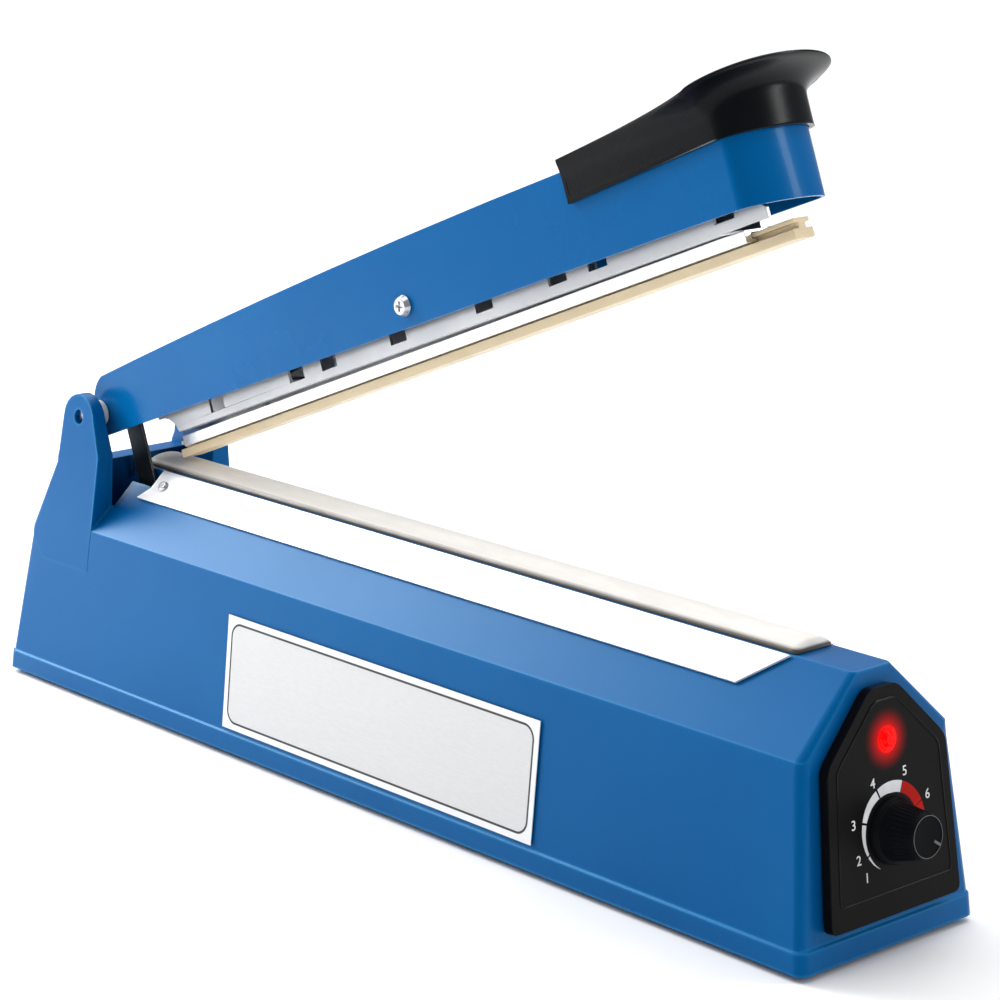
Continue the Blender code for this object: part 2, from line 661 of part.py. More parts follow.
def pointer_notch(frame, face):
    """Groove in the knob's face that points to the scale, at the lower right at rest."""
    angle = math.radians(-35.0)
    along = Vector((0, math.cos(angle), math.sin(angle)))
    across = Vector((0, -math.sin(angle), math.cos(angle)))
    corners = [along * 3.0 - across * 0.5, along * 12.0 - across * 0.5,
               along * 12.0 + across * 0.5, along * 3.0 + across * 0.5]
    rings = [[tuple(c + Vector((depth, 0, 0))) for c in corners] for depth in (face - 0.7, face + 2)]
    return loft("notch", rings, frame)


# ---------------------------------------------------------------- arm

def arm_top(u):
    """Height of the arm's back above the pin line: a shallow curve that levels out."""
    reach = max(0.0, 1.0 - u / 300.0)
    return 22.4 - 8.6 * reach ** 1.9


def arm_side_outline(inset, low):
    """Side outline in u and v, with the rounded rear end."""
    rear = ARM_REAR + inset
    radius = 14.0 - inset
    top = [(u, arm_top(u) - inset) for u in (40.0, 80.0, 120.0, 165.0, 210.0, 260.0, 320.0)]
    knee = arm_top(18.0) - inset
    corner = arc((rear + radius, knee - radius), radius, 180, 108, 6)
    nose = ARM_NOSE_CENTRE + ARM_HALF + 5.0
    return [(rear, low)] + corner + top + [(nose, arm_top(320.0) - inset), (nose, low)]


def arm_plan(half, reach, steps=14):
    """Plan outline in u and y: straight sides and half an oval for the nose."""
    outline = [(-40.0, -half)]
    for along, across in arc((0.0, 0.0), 1.0, -90, 90, steps):
        outline.append((ARM_NOSE_CENTRE + reach * along, half * across))
    return outline + [(-40.0, half)]


def arm_channel(arm):
    """Inverted channel with an oval nose, open underneath."""
    blue = material("blue_paint", BLUE, 0.3)
    shell = prism("arm_channel", arm_side_outline(0.0, ARM_LOW), "Y", -30, 30, arm, blue)
    boolean(shell, prism("plan", arm_plan(ARM_HALF, NOSE_REACH), "Z", -40, 60, arm),
            "INTERSECT")
    inside = prism("inside", arm_side_outline(ARM_WALL, ARM_LOW - 5), "Y", -25, 25, arm)
    inner = ARM_HALF - ARM_WALL
    plan = arm_plan(inner, NOSE_REACH - ARM_WALL)
    boolean(inside, prism("plan", plan, "Z", -60, 60, arm), "INTERSECT")
    cut(shell, inside)
    cut(shell, box("open_rear", (-20.0, -inner, -30.0), (2.0, inner, ARM_OPEN_TO), arm))
    cut(shell, rod("pin_hole", (0, -30, 0), (0, 30, 0), PIN_HOLE_RADIUS, 20, arm))
    cut(shell, rod("pivot_hole", (PIVOT_U, -30, PIVOT_V), (PIVOT_U, 30, PIVOT_V), 2.4, 16, arm))
    return smooth(shell, 30.0)


def hinge_parts(base):
    """Pin held by the ears, with a washer and a spring beside the arm."""
    steel = material("zinc_steel", (0.55, 0.56, 0.58), 0.35, 1.0)
    rod("hinge_pin", (PIN_X, -29.0, PIN_Z), (PIN_X, 29.0, PIN_Z), PIN_RADIUS, 20, base, steel)
    nylon = material("white_nylon", (0.7, 0.7, 0.66), 0.5)
    for name, side in (("hinge_bush_near", -1), ("hinge_bush_far", 1)):
        ring(name, (PIN_X, side * (ARM_HALF + GAP), PIN_Z), (PIN_X, side * (EAR_INNER_Y - GAP), PIN_Z),
             5.4, PIN_RADIUS + GAP, 20, base, nylon)


def lifting_spring(base):
    """Torsion spring round the pin: one leg under the arm's back, one in the well."""
    spring_steel = material("spring_steel", (0.35, 0.35, 0.36), 0.3, 1.0)
    radius = 5.0
    per_turn = 12
    steps = 5 * per_turn + 5
    coil_start = math.radians(222.0)
    points = [Vector((-186.6, -2.0, 82.0)), Vector((-184.4, -2.0, 98.0))]
    for i in range(steps + 1):
        angle = coil_start + math.tau * i / per_turn
        y = -2.0 + 14.0 * i / steps
        points.append(Vector((PIN_X + radius * math.cos(angle), y, PIN_Z + radius * math.sin(angle))))
    points.append(points[-1] + Vector((26.0, 0.6, 12.0)))
    wire("lifting_spring", points, 0.8, base, spring_steel, smoothed=False)


def grip_plan():
    """Points round the skirt from the near rear corner to the far one, with outward normals."""
    half = ARM_HALF + GRIP_SKIRT
    straight = 7
    step = (ARM_NOSE_CENTRE - GRIP_REAR) / straight
    plan = [((GRIP_REAR + step * i, -half), (0.0, -1.0)) for i in range(straight)]
    for along, across in arc((0.0, 0.0), 1.0, -90, 90, 16):
        normal = Vector((along / NOSE_REACH, across / ARM_HALF)).normalized()
        u = ARM_NOSE_CENTRE + NOSE_REACH * along + GRIP_SKIRT * normal.x
        plan.append(((u, ARM_HALF * across + GRIP_SKIRT * normal.y), tuple(normal)))
    plan += [((ARM_NOSE_CENTRE - step * (i + 1), half), (0.0, 1.0)) for i in range(straight)]
    return plan


def grip_crest(u):
    """Height of the grip's top edge, with the lip swept up round the nose."""
    round_nose = max(0.0, (u - ARM_NOSE_CENTRE) / (NOSE_REACH + GRIP_SKIRT))
    return GRIP_TOP_REAR + GRIP_RISE * (u - GRIP_REAR) + GRIP_LIP_LIFT * round_nose ** 0.7


def grip_rings():
    """Rings from the skirt's lower edge, up the skirt, out over the flange to the top.

    Each level holds its share of the flare and how far it lies under the top edge.
    """
    levels = [(0.0, None), (0.0, -9.0), (0.12, -6.5), (0.42, -3.6), (0.86, -1.5), (1.0, -0.9),
              (1.0, -0.3), (0.93, 0.0)]
    rings = []
    for share, drop in levels:
        ring_points = []
        for (u, y), normal in grip_plan():
            along = min(max((u - GRIP_REAR) / (ARM_NOSE_CENTRE - GRIP_REAR), 0.0), 1.0)
            flare = share * (1.0 + (GRIP_FLARE - 1.0) * along ** GRIP_FLARE_POWER)
            low = GRIP_LOW + GRIP_LOW_RISE * (u - GRIP_REAR)
            height = low if drop is None else grip_crest(u) + drop
            ring_points.append((u + normal[0] * flare, y + normal[1] * flare, height))
        rings.append(ring_points)
    return rings


def grip(arm):
    """Moulded handle pushed over the arm's nose, with a flared lip."""
    handle = loft("grip", grip_rings(), arm, material("black_plastic", DARK, 0.45))
    gap_plan = arm_plan(ARM_HALF + GAP, NOSE_REACH + GAP)
    cut(handle, prism("seat", gap_plan, "Z", -5, arm_top(320.0) + GAP, arm))
    return smooth(handle, 30.0)


def striker(arm):
    """Steel tongue inside the near wall that reaches down to the arm switch."""
    outline = [(4.5, -35.0), (15.5, -35.0), (15.5, 3.0)] + arc((12.0, 6.0), 3.5, 0, 90, 3)
    outline += [(9.0, 9.5), (4.5, 5.0)]
    tongue = prism("switch_striker", outline, "Y", -12.6, -11.6, arm,
                   material("dark_steel", (0.10, 0.12, 0.12), 0.4, 0.9))
    cut(tongue, rod("hole", (0, -20, 0), (0, 0, 0), 8.0, 20, arm))
    return tongue


# ---------------------------------------------------------------- pressure bar

def carrier_outline():
    """Side of the carrier in its own frame, X along the bar and Z up from the pivot."""
    low = -14.3
    rear = -176.0
    notch = arc((rear + 2.0, low - 2.2), 10.5, 90, 18, 5)
    nose = [(175.2, low), (175.2, -10.8), (172.4, -8.6), (172.4, 2.5), (169.0, 5.5)]
    return [(rear, low + 8.3)] + notch + nose + [(-150.0, 5.5), (rear, 0.5)]


def carrier(bar):
    """Upward-facing channel with windows in its sides, hung on the pivot screw.

    Ahead of the bar's end only the near side goes on towards the nose.
    """
    steel = material("carrier_steel", (0.45, 0.46, 0.47), 0.4, 0.9)
    channel = prism("pressure_carrier", carrier_outline(), "Y", -12, 12, bar, steel)
    cut(channel, box("inside", (-190, -10.8, -13.1), (190, 10.8, 20), bar))
    cut(channel, box("front_relief", (149.0, -10.8, -20), (190, 14, 20), bar))
    for centre in (-135.0, -81.0, -60.0, -17.0, 33.0, 73.0, 94.0, 156.0):
        cut(channel, box("window", (centre - 4.8, -20, -10.6), (centre + 4.8, 20, -3.5), bar))
    cut(channel, rod("pivot_hole", (0, -20, 0), (0, 20, 0), 2.4, 16, bar))
    for x in (-120.0, 120.0):
        cut(channel, rod("stud_hole", (x, 0, -20), (x, 0, -5), 1.8, 12, bar))
    return channel


def pressure_bar(bar):
    """Aluminium bar with a T slot and the silicone strip that slides into it."""
    low = -SEAL_DROP
    top = -14.6
    outline = [(-7, low + 3.7), (-2.0, low + 3.7), (-2.0, low + 4.9), (-4.0, low + 4.9),
               (-4.0, low + 7.0), (4.0, low + 7.0), (4.0, low + 4.9), (2.0, low + 4.9),
               (2.0, low + 3.7), (7, low + 3.7), (7, top), (-7, top)]
    prism("pressure_bar", outline, "X", -170.0, 158.5, bar,
          material("bright_aluminium", (0.8, 0.8, 0.8), 0.3, 1.0))
    blade = [(-4.6, low), (4.6, low), (4.6, low + 3.3), (1.7, low + 3.3), (1.7, low + 5.2),
             (3.7, low + 5.2), (3.7, low + 6.7), (-3.7, low + 6.7), (-3.7, low + 5.2),
             (-1.7, low + 5.2), (-1.7, low + 3.3), (-4.6, low + 3.3)]
    prism("silicone_strip", blade, "X", -176.5, 177.0, bar,
          material("silicone", (0.75, 0.62, 0.4), 0.5))
    for name, x in (("bar_stud_rear", -120.0), ("bar_stud_front", 120.0)):
        stud = rod(name, (x, 0, -14.3), (x, 0, -11.6), 1.4, 12, bar,
                   material("zinc_steel", (0.55, 0.56, 0.58), 0.35, 1.0))
        join(stud, rod("head", (x, 0, -12.8), (x, 0, -11.0), 3.2, 12, bar))
        smooth(stud)


def pivot_screw(bar):
    """Cross-head screw through the arm and the carrier, with its nut on the far side."""
    steel = material("zinc_steel", (0.55, 0.56, 0.58), 0.35, 1.0)
    outer = ARM_HALF + GAP
    screw = rod("pivot_screw", (0, -outer - 1.0, 0), (0, outer + 4.0, 0), 2.0, 16, bar, steel)
    head = rod("head", (0, -outer, 0), (0, -outer - 2.1, 0), 4.0, 20, bar, None, 3.0)
    join(screw, head)
    for turn in (0.0, 90.0):
        blade = box("cross", (-1.9, -outer - 4.0, -0.4), (1.9, -outer - 1.0, 0.4), bar)
        blade.rotation_euler = (0, math.radians(20.0 + turn), 0)
        cut(screw, blade)
    smooth(screw)
    outline = arc((0, 0), 4.0, 30, 330, 5)
    nut = prism("pivot_nut", outline, "Y", outer, outer + 3.0, bar, steel)
    cut(nut, rod("thread", (0, 0, 0), (0, 40, 0), 2.3, 16, bar))


def bar_spring(bar):
    """Coil spring between the carrier's floor and the arm's back, which pushes the rear down."""
    points = []
    turns = 6
    per_turn = 10
    for i in range(turns * per_turn + 1):
        angle = math.tau * i / per_turn
        points.append(Vector((-95.0 + 4.5 * math.cos(angle), 4.5 * math.sin(angle),
                              -12.2 + 29.4 * i / (turns * per_turn))))
    wire("bar_spring", points, 0.6, bar, material("spring_steel", (0.35, 0.35, 0.36), 0.3, 1.0),
         smoothed=False)


# ---------------------------------------------------------------- assembly

def main():
    clear_scene()
    base = empty("base_frame", None, (FRAME_X, 0, FOOT_DROP))
    arm = empty("arm_frame", base, (PIN_X, 0, PIN_Z), -ARM_TILT)
    bar = empty("bar_frame", arm, (PIVOT_U, 0, PIVOT_V), -BAR_SLANT)
    dial = empty("dial_frame", base, (front_x(DIAL_Z), 0, DIAL_Z), -FRONT_LEAN)
    knob_frame = empty("knob_frame", dial)
    lever_frame = empty("lever_frame", base, (-141.0, -12.5, 64.8))

    housing(base)
    underside(base)
    side_label(base)
    cord_inlet(base)
    heating_jaw(base)
    element_terminals(base)
    transformer(base)
    timer_board(base)
    terminal_strip(base)
    arm_switch(base, lever_frame)
    wiring(base)
    dial_end(dial, knob_frame)
    hinge_parts(base)
    lifting_spring(base)
    arm_channel(arm)
    grip(arm)
    striker(arm)
    pivot_screw(bar)
    carrier(bar)
    pressure_bar(bar)
    bar_spring(bar)


main()
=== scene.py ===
"""Looks of the impulse heat sealer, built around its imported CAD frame."""
import json
import math

import bmesh
import bpy
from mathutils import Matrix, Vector


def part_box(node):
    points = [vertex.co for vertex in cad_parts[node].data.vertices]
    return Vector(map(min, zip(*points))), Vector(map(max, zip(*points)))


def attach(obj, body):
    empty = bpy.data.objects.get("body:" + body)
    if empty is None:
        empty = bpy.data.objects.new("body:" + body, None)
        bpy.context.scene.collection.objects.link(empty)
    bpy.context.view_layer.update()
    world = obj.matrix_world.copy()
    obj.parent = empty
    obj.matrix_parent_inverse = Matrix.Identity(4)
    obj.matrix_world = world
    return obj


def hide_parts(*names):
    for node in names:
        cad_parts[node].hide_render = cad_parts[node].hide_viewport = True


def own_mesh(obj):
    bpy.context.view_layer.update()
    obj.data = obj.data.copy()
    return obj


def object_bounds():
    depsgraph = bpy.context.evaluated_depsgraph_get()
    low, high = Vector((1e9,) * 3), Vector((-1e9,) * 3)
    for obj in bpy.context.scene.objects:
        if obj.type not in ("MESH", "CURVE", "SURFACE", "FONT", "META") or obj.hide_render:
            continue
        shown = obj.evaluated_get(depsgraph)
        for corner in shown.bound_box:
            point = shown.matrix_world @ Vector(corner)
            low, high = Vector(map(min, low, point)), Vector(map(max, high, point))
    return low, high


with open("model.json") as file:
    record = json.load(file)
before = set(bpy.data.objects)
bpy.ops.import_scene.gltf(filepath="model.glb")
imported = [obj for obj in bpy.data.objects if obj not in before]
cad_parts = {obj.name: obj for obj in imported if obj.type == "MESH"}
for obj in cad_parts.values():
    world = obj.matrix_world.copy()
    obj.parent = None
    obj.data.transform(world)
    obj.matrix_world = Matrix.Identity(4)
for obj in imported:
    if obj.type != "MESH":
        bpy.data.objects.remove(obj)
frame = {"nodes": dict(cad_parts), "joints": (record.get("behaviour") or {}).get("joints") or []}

MM = 0.001
cad_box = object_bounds()
nodes = frame["nodes"]
joints = {joint["name"]: joint for joint in frame["joints"]}
BLUE_PLASTIC = (0.000, 0.098, 0.300)
BLUE_PLASTIC_DEEP = (0.000, 0.084, 0.270)


# ---------------------------------------------------------------- material helpers

class Graph:
    """Short way to add and join nodes of one material."""

    def __init__(self, name):
        self.material = bpy.data.materials.new(name)
        self.material.use_nodes = True
        self.tree = self.material.node_tree
        self.shader = self.tree.nodes["Principled BSDF"]

    def node(self, kind, inputs=None, **settings):
        made = self.tree.nodes.new(kind)
        for key, value in settings.items():
            setattr(made, key, value)
        for key, value in (inputs or {}).items():
            self.feed(made.inputs[key], value)
        return made

    def feed(self, socket, value):
        if isinstance(value, bpy.types.NodeSocket):
            self.tree.links.new(value, socket)
        else:
            socket.default_value = value

    def place(self, scale=(1, 1, 1)):
        """The piece's own coordinates, which are the object's frame in metres."""
        coords = self.node("ShaderNodeTexCoord").outputs["Object"]
        return self.node("ShaderNodeMapping", {"Vector": coords, "Scale": scale}).outputs[0]

    def noise(self, vector, scale, detail=3.0, roughness=0.55):
        return self.node("ShaderNodeTexNoise", {"Vector": vector, "Scale": scale, "Detail": detail,
                                                "Roughness": roughness}).outputs["Fac"]

    def span(self, value, low, high, out_low=0.0, out_high=1.0):
        return self.node("ShaderNodeMapRange", {"Value": value, "From Min": low, "From Max": high,
                                                "To Min": out_low, "To Max": out_high}).outputs[0]

    def math(self, operation, a, b=0.0, c=0.0):
        made = self.node("ShaderNodeMath", operation=operation)
        for socket, value in zip(made.inputs, (a, b, c)):
            self.feed(socket, value)
        return made.outputs[0]

    def mix(self, amount, a, b):
        made = self.node("ShaderNodeMix", data_type="RGBA")
        self.feed(made.inputs[0], amount)
        self.feed(made.inputs[6], (*a, 1.0) if isinstance(a, tuple) else a)
        self.feed(made.inputs[7], (*b, 1.0) if isinstance(b, tuple) else b)
        return made.outputs[2]

    def bump(self, height, distance, strength=1.0, normal=None):
        made = self.node("ShaderNodeBump", {"Height": height, "Distance": distance,
                                            "Strength": strength})
        if normal is not None:
            self.feed(made.inputs["Normal"], normal)
        return made.outputs[0]

    def edge(self, radius):
        """1 near the piece's sharp edges, 0 on its faces; the radius is in millimetres."""
        rounded = self.node("ShaderNodeBevel", {"Radius": radius * MM}, samples=4).outputs[0]
        facing = self.node("ShaderNodeNewGeometry").outputs["Normal"]
        same = self.node("ShaderNodeVectorMath", {0: rounded, 1: facing}, operation="DOT_PRODUCT")
        return self.span(same.outputs["Value"], 0.985, 0.90)

    def set(self, **sockets):
        """Values or links on the shader; underscores stand for the spaces in socket names."""
        for key, value in sockets.items():
            socket = self.shader.inputs[key.replace("_", " ")]
            self.feed(socket, (*value, 1.0) if isinstance(value, tuple) and len(value) == 3 and
                      socket.type == "RGBA" else value)
        return self.material


def surface(name, colour, tint, rough, spread=0.08, cloud=25.0, grain=900.0, depth=0.03,
            stretch=(1, 1, 1), wear=None, wear_amount=0.5, **sockets):
    """Colour drifting to a tint, uneven roughness, fine grain and worn edges."""
    g = Graph(name)
    where = g.place(stretch)
    drift = g.noise(where, cloud, 4.0)
    grain_value = g.noise(where, grain, 4.0, 0.6)
    colour_out = g.mix(g.span(drift, 0.35, 0.68), colour, tint)
    if wear:
        worn = g.math("MULTIPLY", g.edge(0.6), g.span(drift, 0.3, 0.6, 0.3, 1.0))
        colour_out = g.mix(g.math("MULTIPLY", worn, wear_amount), colour_out, wear)
    smudge = g.noise(g.place(), cloud * 0.45, 5.0, 0.65)
    rough_out = g.span(smudge, 0.3, 0.7, rough - spread, rough + spread)
    return g.set(Base_Color=colour_out, Roughness=rough_out,
                 Normal=g.bump(grain_value, depth * MM), **sockets)


def brushed(name, colour, tint, rough, along="X", depth=0.012, **sockets):
    """Metal with fine lines along one axis."""
    stretch = {"X": (3, 160, 160), "Y": (160, 3, 160), "Z": (160, 160, 3)}[along]
    return surface(name, colour, tint, rough, 0.07, 1.2, 18.0, depth, stretch,
                   Metallic=1.0, **sockets)


# ---------------------------------------------------------------- mesh helpers

def paint(name, material):
    """Give a CAD node a finished material."""
    for slot in nodes[name].material_slots:
        slot.material = material
    return nodes[name]


def soften(name, width, segments=3, angle=28.0):
    """Round the edges of a CAD node with modifiers; its own mesh stays as packed."""
    item = nodes[name]
    weld = item.modifiers.new("weld", "WELD")
    weld.merge_threshold = 0.00001
    bevel = item.modifiers.new("bevel", "BEVEL")
    bevel.width = width * MM
    bevel.segments = segments
    bevel.limit_method = "ANGLE"
    bevel.angle_limit = math.radians(angle)
    bevel.miter_outer = "MITER_ARC"
    bevel.harden_normals = False
    normals = item.modifiers.new("normals", "WEIGHTED_NORMAL")
    normals.keep_sharp = False
    return item


def piece(name, bm, body, material, replaced=()):
    """Finish a bmesh in metres as a piece that rides on a body."""
    bmesh.ops.recalc_face_normals(bm, faces=bm.faces)
    mesh = bpy.data.meshes.new(name)
    bm.to_mesh(mesh)
    bm.free()
    mesh.shade_smooth()
    mesh.set_sharp_from_angle(angle=math.radians(40))
    mesh.materials.append(material)
    item = bpy.data.objects.new(name, mesh)
    bpy.context.scene.collection.objects.link(item)
    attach(item, body)
    if replaced:
        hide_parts(*replaced)
    return item


def skin(bm, rings, closed=True, cap_start=True, cap_end=True):
    """Faces between rings of points, with capped ends."""
    rows = [[bm.verts.new(p) for p in ring] for ring in rings]
    count = len(rows[0])
    for a, b in zip(rows, rows[1:]):
        for i in range(count if closed else count - 1):
            j = (i + 1) % count
            bm.faces.new((a[i], a[j], b[j], b[i]))
    if cap_start:
        bm.faces.new(rows[0][::-1])
    if cap_end:
        bm.faces.new(rows[-1])
    return rows


def reach(node, origin, axis):
    """Lowest and highest distance of a node's points along an axis."""
    values = [(v.co - origin).dot(axis) for v in nodes[node].data.vertices]
    return min(values), max(values)


# ---------------------------------------------------------------- materials

def blue_plastic(pin):
    """Moulded ABS: fine spark texture, paler rubbed edges and painted shade darkening the hinge well."""
    g = Graph("housing_blue")
    where = g.place()
    parts = g.node("ShaderNodeSeparateXYZ", {"Vector": where}).outputs
    drift = g.noise(where, 9.0, 4.0)
    colour = g.mix(g.span(drift, 0.35, 0.68), BLUE_PLASTIC, BLUE_PLASTIC_DEEP)
    worn = g.math("MULTIPLY", g.edge(1.6), g.span(drift, 0.3, 0.6, 0.25, 0.7))
    colour = g.mix(worn, colour, (0.03, 0.27, 0.58))
    # Painted shade: the hinge well between the ears, under the arm, is darkened in mottled patches to
    # stand in for the shade there.
    between = g.span(g.math("ABSOLUTE", parts[1]), 25.9 * MM, 25.1 * MM)
    ahead = g.span(parts[0], pin.x + 19.0 * MM, pin.x + 16.0 * MM)
    raised = g.span(parts[2], 67.0 * MM, 72.0 * MM)
    indoors = g.span(parts[0], pin.x - 6.4 * MM, pin.x - 5.6 * MM)
    well = g.math("MULTIPLY", g.math("MULTIPLY", between, ahead),
                  g.math("MULTIPLY", raised, indoors))
    painted_well_shade = g.math("MULTIPLY", well, g.span(g.noise(where, 30.0, 5.0), 0.2, 0.8, 0.62, 0.9))
    colour = g.mix(painted_well_shade, colour, (0.000, 0.030, 0.105))
    smudge = g.noise(where, 4.0, 5.0, 0.65)
    return g.set(Base_Color=colour, Roughness=g.span(smudge, 0.2, 0.8, 0.27, 0.36),
                 Normal=g.bump(g.noise(where, 2600.0, 4.0, 0.6), 0.022 * MM),
                 Specular_IOR_Level=0.24, Specular_Tint=(0.12, 0.58, 1.0))


def blue_paint():
    """Gloss powder coat over steel with a faint orange peel."""
    return surface("arm_paint", (0.000, 0.112, 0.335), (0.000, 0.098, 0.305), 0.26, 0.05, 12.0,
                   700.0, 0.02, wear=(0.02, 0.22, 0.52), wear_amount=0.35,
                   Specular_IOR_Level=0.10, Specular_Tint=(0.02, 0.50, 1.0), Coat_Weight=0.14,
                   Coat_Roughness=0.10, Coat_IOR=1.35)


def black_plastic(name, rough=0.32, grain=1500.0, depth=0.02, shine=0.08):
    return surface(name, (0.0025, 0.003, 0.0042), (0.005, 0.0055, 0.007), rough, 0.07, 30.0, grain,
                   depth, wear=(0.02, 0.02, 0.022), wear_amount=0.4, Specular_IOR_Level=shine)


def label_material():
    """Printed film: white margin, black rounded outline, pale grey panel with printed grain."""
    low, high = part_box("side_label")
    centre, half = (low + high) / 2, (high - low) / 2
    inset, radius, line = 2.7 * MM, 5.0 * MM, 0.42 * MM
    g = Graph("label_print")
    parts = g.node("ShaderNodeSeparateXYZ", {"Vector": g.place()})
    sides = []
    for axis, middle, extent in ((0, centre.x, half.x), (2, centre.z, half.z)):
        offset = g.math("ABSOLUTE", g.math("SUBTRACT", parts.outputs[axis], middle))
        sides.append(g.math("SUBTRACT", offset, extent - inset - radius))
    outside = [g.math("MAXIMUM", side, 0.0) for side in sides]
    corner = g.math("SQRT", g.math("ADD", g.math("MULTIPLY", outside[0], outside[0]),
                                   g.math("MULTIPLY", outside[1], outside[1])))
    inner = g.math("MINIMUM", g.math("MAXIMUM", sides[0], sides[1]), 0.0)
    distance = g.math("SUBTRACT", g.math("ADD", corner, inner), radius)
    within = g.span(distance, 0.00005, -0.00005)
    ink = g.span(g.math("ABSOLUTE", distance), line + 0.00005, line - 0.00005)
    fibre = g.noise(g.place((1, 1, 6)), 260.0, 4.0)
    grey = g.mix(g.span(fibre, 0.3, 0.7), (0.625, 0.625, 0.630), (0.665, 0.665, 0.665))
    white = g.mix(g.span(fibre, 0.3, 0.7), (0.80, 0.81, 0.83), (0.85, 0.86, 0.87))
    colour = g.mix(ink, g.mix(within, white, grey), (0.02, 0.02, 0.022))
    rough = g.span(g.noise(g.place(), 60.0), 0.3, 0.7, 0.36, 0.52)
    raised = g.math("ADD", g.math("MULTIPLY", ink, 0.6), g.math("MULTIPLY", fibre, 0.25))
    return g.set(Base_Color=colour, Roughness=rough, Normal=g.bump(raised, 0.02 * MM))


def cloth_material():
    """Coated glass cloth: fine weave, cream grey, with a dark band along its lower edge, partly the brown
    cloth edge and partly painted shadow where it tucks under the plates.
    """
    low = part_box("ptfe_cloth")[0]
    g = Graph("coated_cloth")
    height = g.node("ShaderNodeSeparateXYZ", {"Vector": g.place()}).outputs[2]
    weave = []
    for direction in ("X", "Y"):
        weave.append(g.node("ShaderNodeTexWave", {"Vector": g.place(), "Scale": 420.0,
                                                  "Distortion": 0.4}, bands_direction=direction
                            ).outputs["Fac"])
    woven = g.math("ADD", weave[0], weave[1])
    cloud = g.noise(g.place((1, 3, 3)), 45.0, 5.0)
    base = g.mix(g.span(cloud, 0.3, 0.7), (0.80, 0.775, 0.735), (0.70, 0.67, 0.625))
    # Dark band at the lower edge: the cloth's brown edge plus painted shadow where it tucks under the
    # plates.
    edge_and_shadow_band = g.span(height, low.z + 2.0 * MM, low.z + 1.1 * MM)
    colour = g.mix(edge_and_shadow_band, base, (0.050, 0.036, 0.026))
    crumple = g.noise(g.place((1, 5, 2)), 90.0, 3.0)
    relief = g.math("ADD", g.math("MULTIPLY", woven, 0.08), g.math("MULTIPLY", crumple, 0.7))
    rough = g.span(cloud, 0.3, 0.7, 0.34, 0.48)
    return g.set(Base_Color=colour, Roughness=rough, Normal=g.bump(relief, 0.10 * MM),
                 Sheen_Weight=0.2)


def silicone_material():
    """Cream silicone rubber that lets some light through."""
    g = Graph("cream_silicone")
    cloud = g.noise(g.place((0.4, 1, 1)), 60.0, 4.0)
    colour = g.mix(g.span(cloud, 0.3, 0.7), (0.74, 0.61, 0.40), (0.66, 0.53, 0.33))
    pores = g.noise(g.place(), 1400.0, 3.0)
    return g.set(Base_Color=colour, Roughness=g.span(cloud, 0.3, 0.7, 0.38, 0.52),
                 Subsurface_Weight=0.25, Subsurface_Radius=(0.004, 0.0025, 0.0012),
                 Subsurface_Scale=0.6, Normal=g.bump(pores, 0.02 * MM))


def panel_material(centre, normal):
    """Charcoal moulded face with spark texture, a painted red glow of the lamp's light round the lamp,
    glossy on its sides.
    """
    g = Graph("panel_charcoal")
    where = g.place()
    facing = g.node("ShaderNodeVectorMath", {0: g.node("ShaderNodeNewGeometry").outputs["Normal"],
                                             1: tuple(normal)}, operation="DOT_PRODUCT").outputs["Value"]
    front = g.span(facing, 0.90, 0.97)
    cloud = g.noise(where, 35.0, 5.0)
    face = g.mix(g.span(cloud, 0.3, 0.7), (0.0052, 0.0052, 0.0054), (0.0078, 0.0076, 0.0075))
    colour = g.mix(front, (0.004, 0.004, 0.005), face)
    away = g.node("ShaderNodeVectorMath", {0: where, 1: tuple(centre)}, operation="DISTANCE"
                  ).outputs["Value"]
    # Painted light: the panel itself emits a red glow round the lamp, standing in for the lamp's light
    # falling on it.
    halo = g.math("POWER", g.span(away, 11.0 * MM, 3.4 * MM), 2.2)
    glow = g.mix(g.math("MULTIPLY", halo, front), (0.0, 0.0, 0.0), (0.80, 0.0, 0.0))
    spark = g.noise(where, 2300.0, 3.0)
    rough = g.math("ADD", g.span(front, 0.0, 1.0, 0.16, 0.42), g.span(cloud, 0.3, 0.7, -0.05, 0.05))
    return g.set(Base_Color=colour, Roughness=rough, Emission_Color=glow, Emission_Strength=1.0,
                 Specular_IOR_Level=0.05, Normal=g.bump(spark, 0.025 * MM))


def printed(name, colour, tint):
    """Screen-printed ink with slightly uneven cover."""
    return surface(name, colour, tint, 0.45, 0.06, 220.0, 2500.0, 0.01, Specular_IOR_Level=0.06)


def lamp_material():
    g = Graph("red_lamp")
    ribs = g.node("ShaderNodeTexVoronoi", {"Vector": g.place(), "Scale": 900.0}).outputs["Distance"]
    colour = g.mix(g.span(ribs, 0.1, 0.6), (0.60, 0.0, 0.0), (0.40, 0.0, 0.0))
    glow = g.mix(g.span(ribs, 0.0, 0.7), (1.0, 0.0, 0.0), (0.8, 0.0, 0.0))
    return g.set(Base_Color=colour, Roughness=g.span(ribs, 0.0, 1.0, 0.20, 0.35),
                 Emission_Color=glow, Emission_Strength=0.9, Specular_IOR_Level=0.08,
                 Normal=g.bump(ribs, 0.03 * MM))


def laminated():
    """Varnished iron laminations stacked across the core."""
    g = Graph("laminated_iron")
    sheets = g.node("ShaderNodeTexWave", {"Vector": g.place(), "Scale": 320.0, "Distortion": 0.3},
                    bands_direction="Y").outputs["Fac"]
    rust = g.noise(g.place(), 60.0, 6.0)
    colour = g.mix(g.span(rust, 0.4, 0.75), (0.09, 0.085, 0.08), (0.20, 0.12, 0.07))
    return g.set(Base_Color=g.mix(g.span(sheets, 0.0, 0.25), (0.02, 0.02, 0.02), colour),
                 Metallic=0.7, Roughness=g.span(rust, 0.3, 0.7, 0.35, 0.6),
                 Normal=g.bump(sheets, 0.12 * MM))


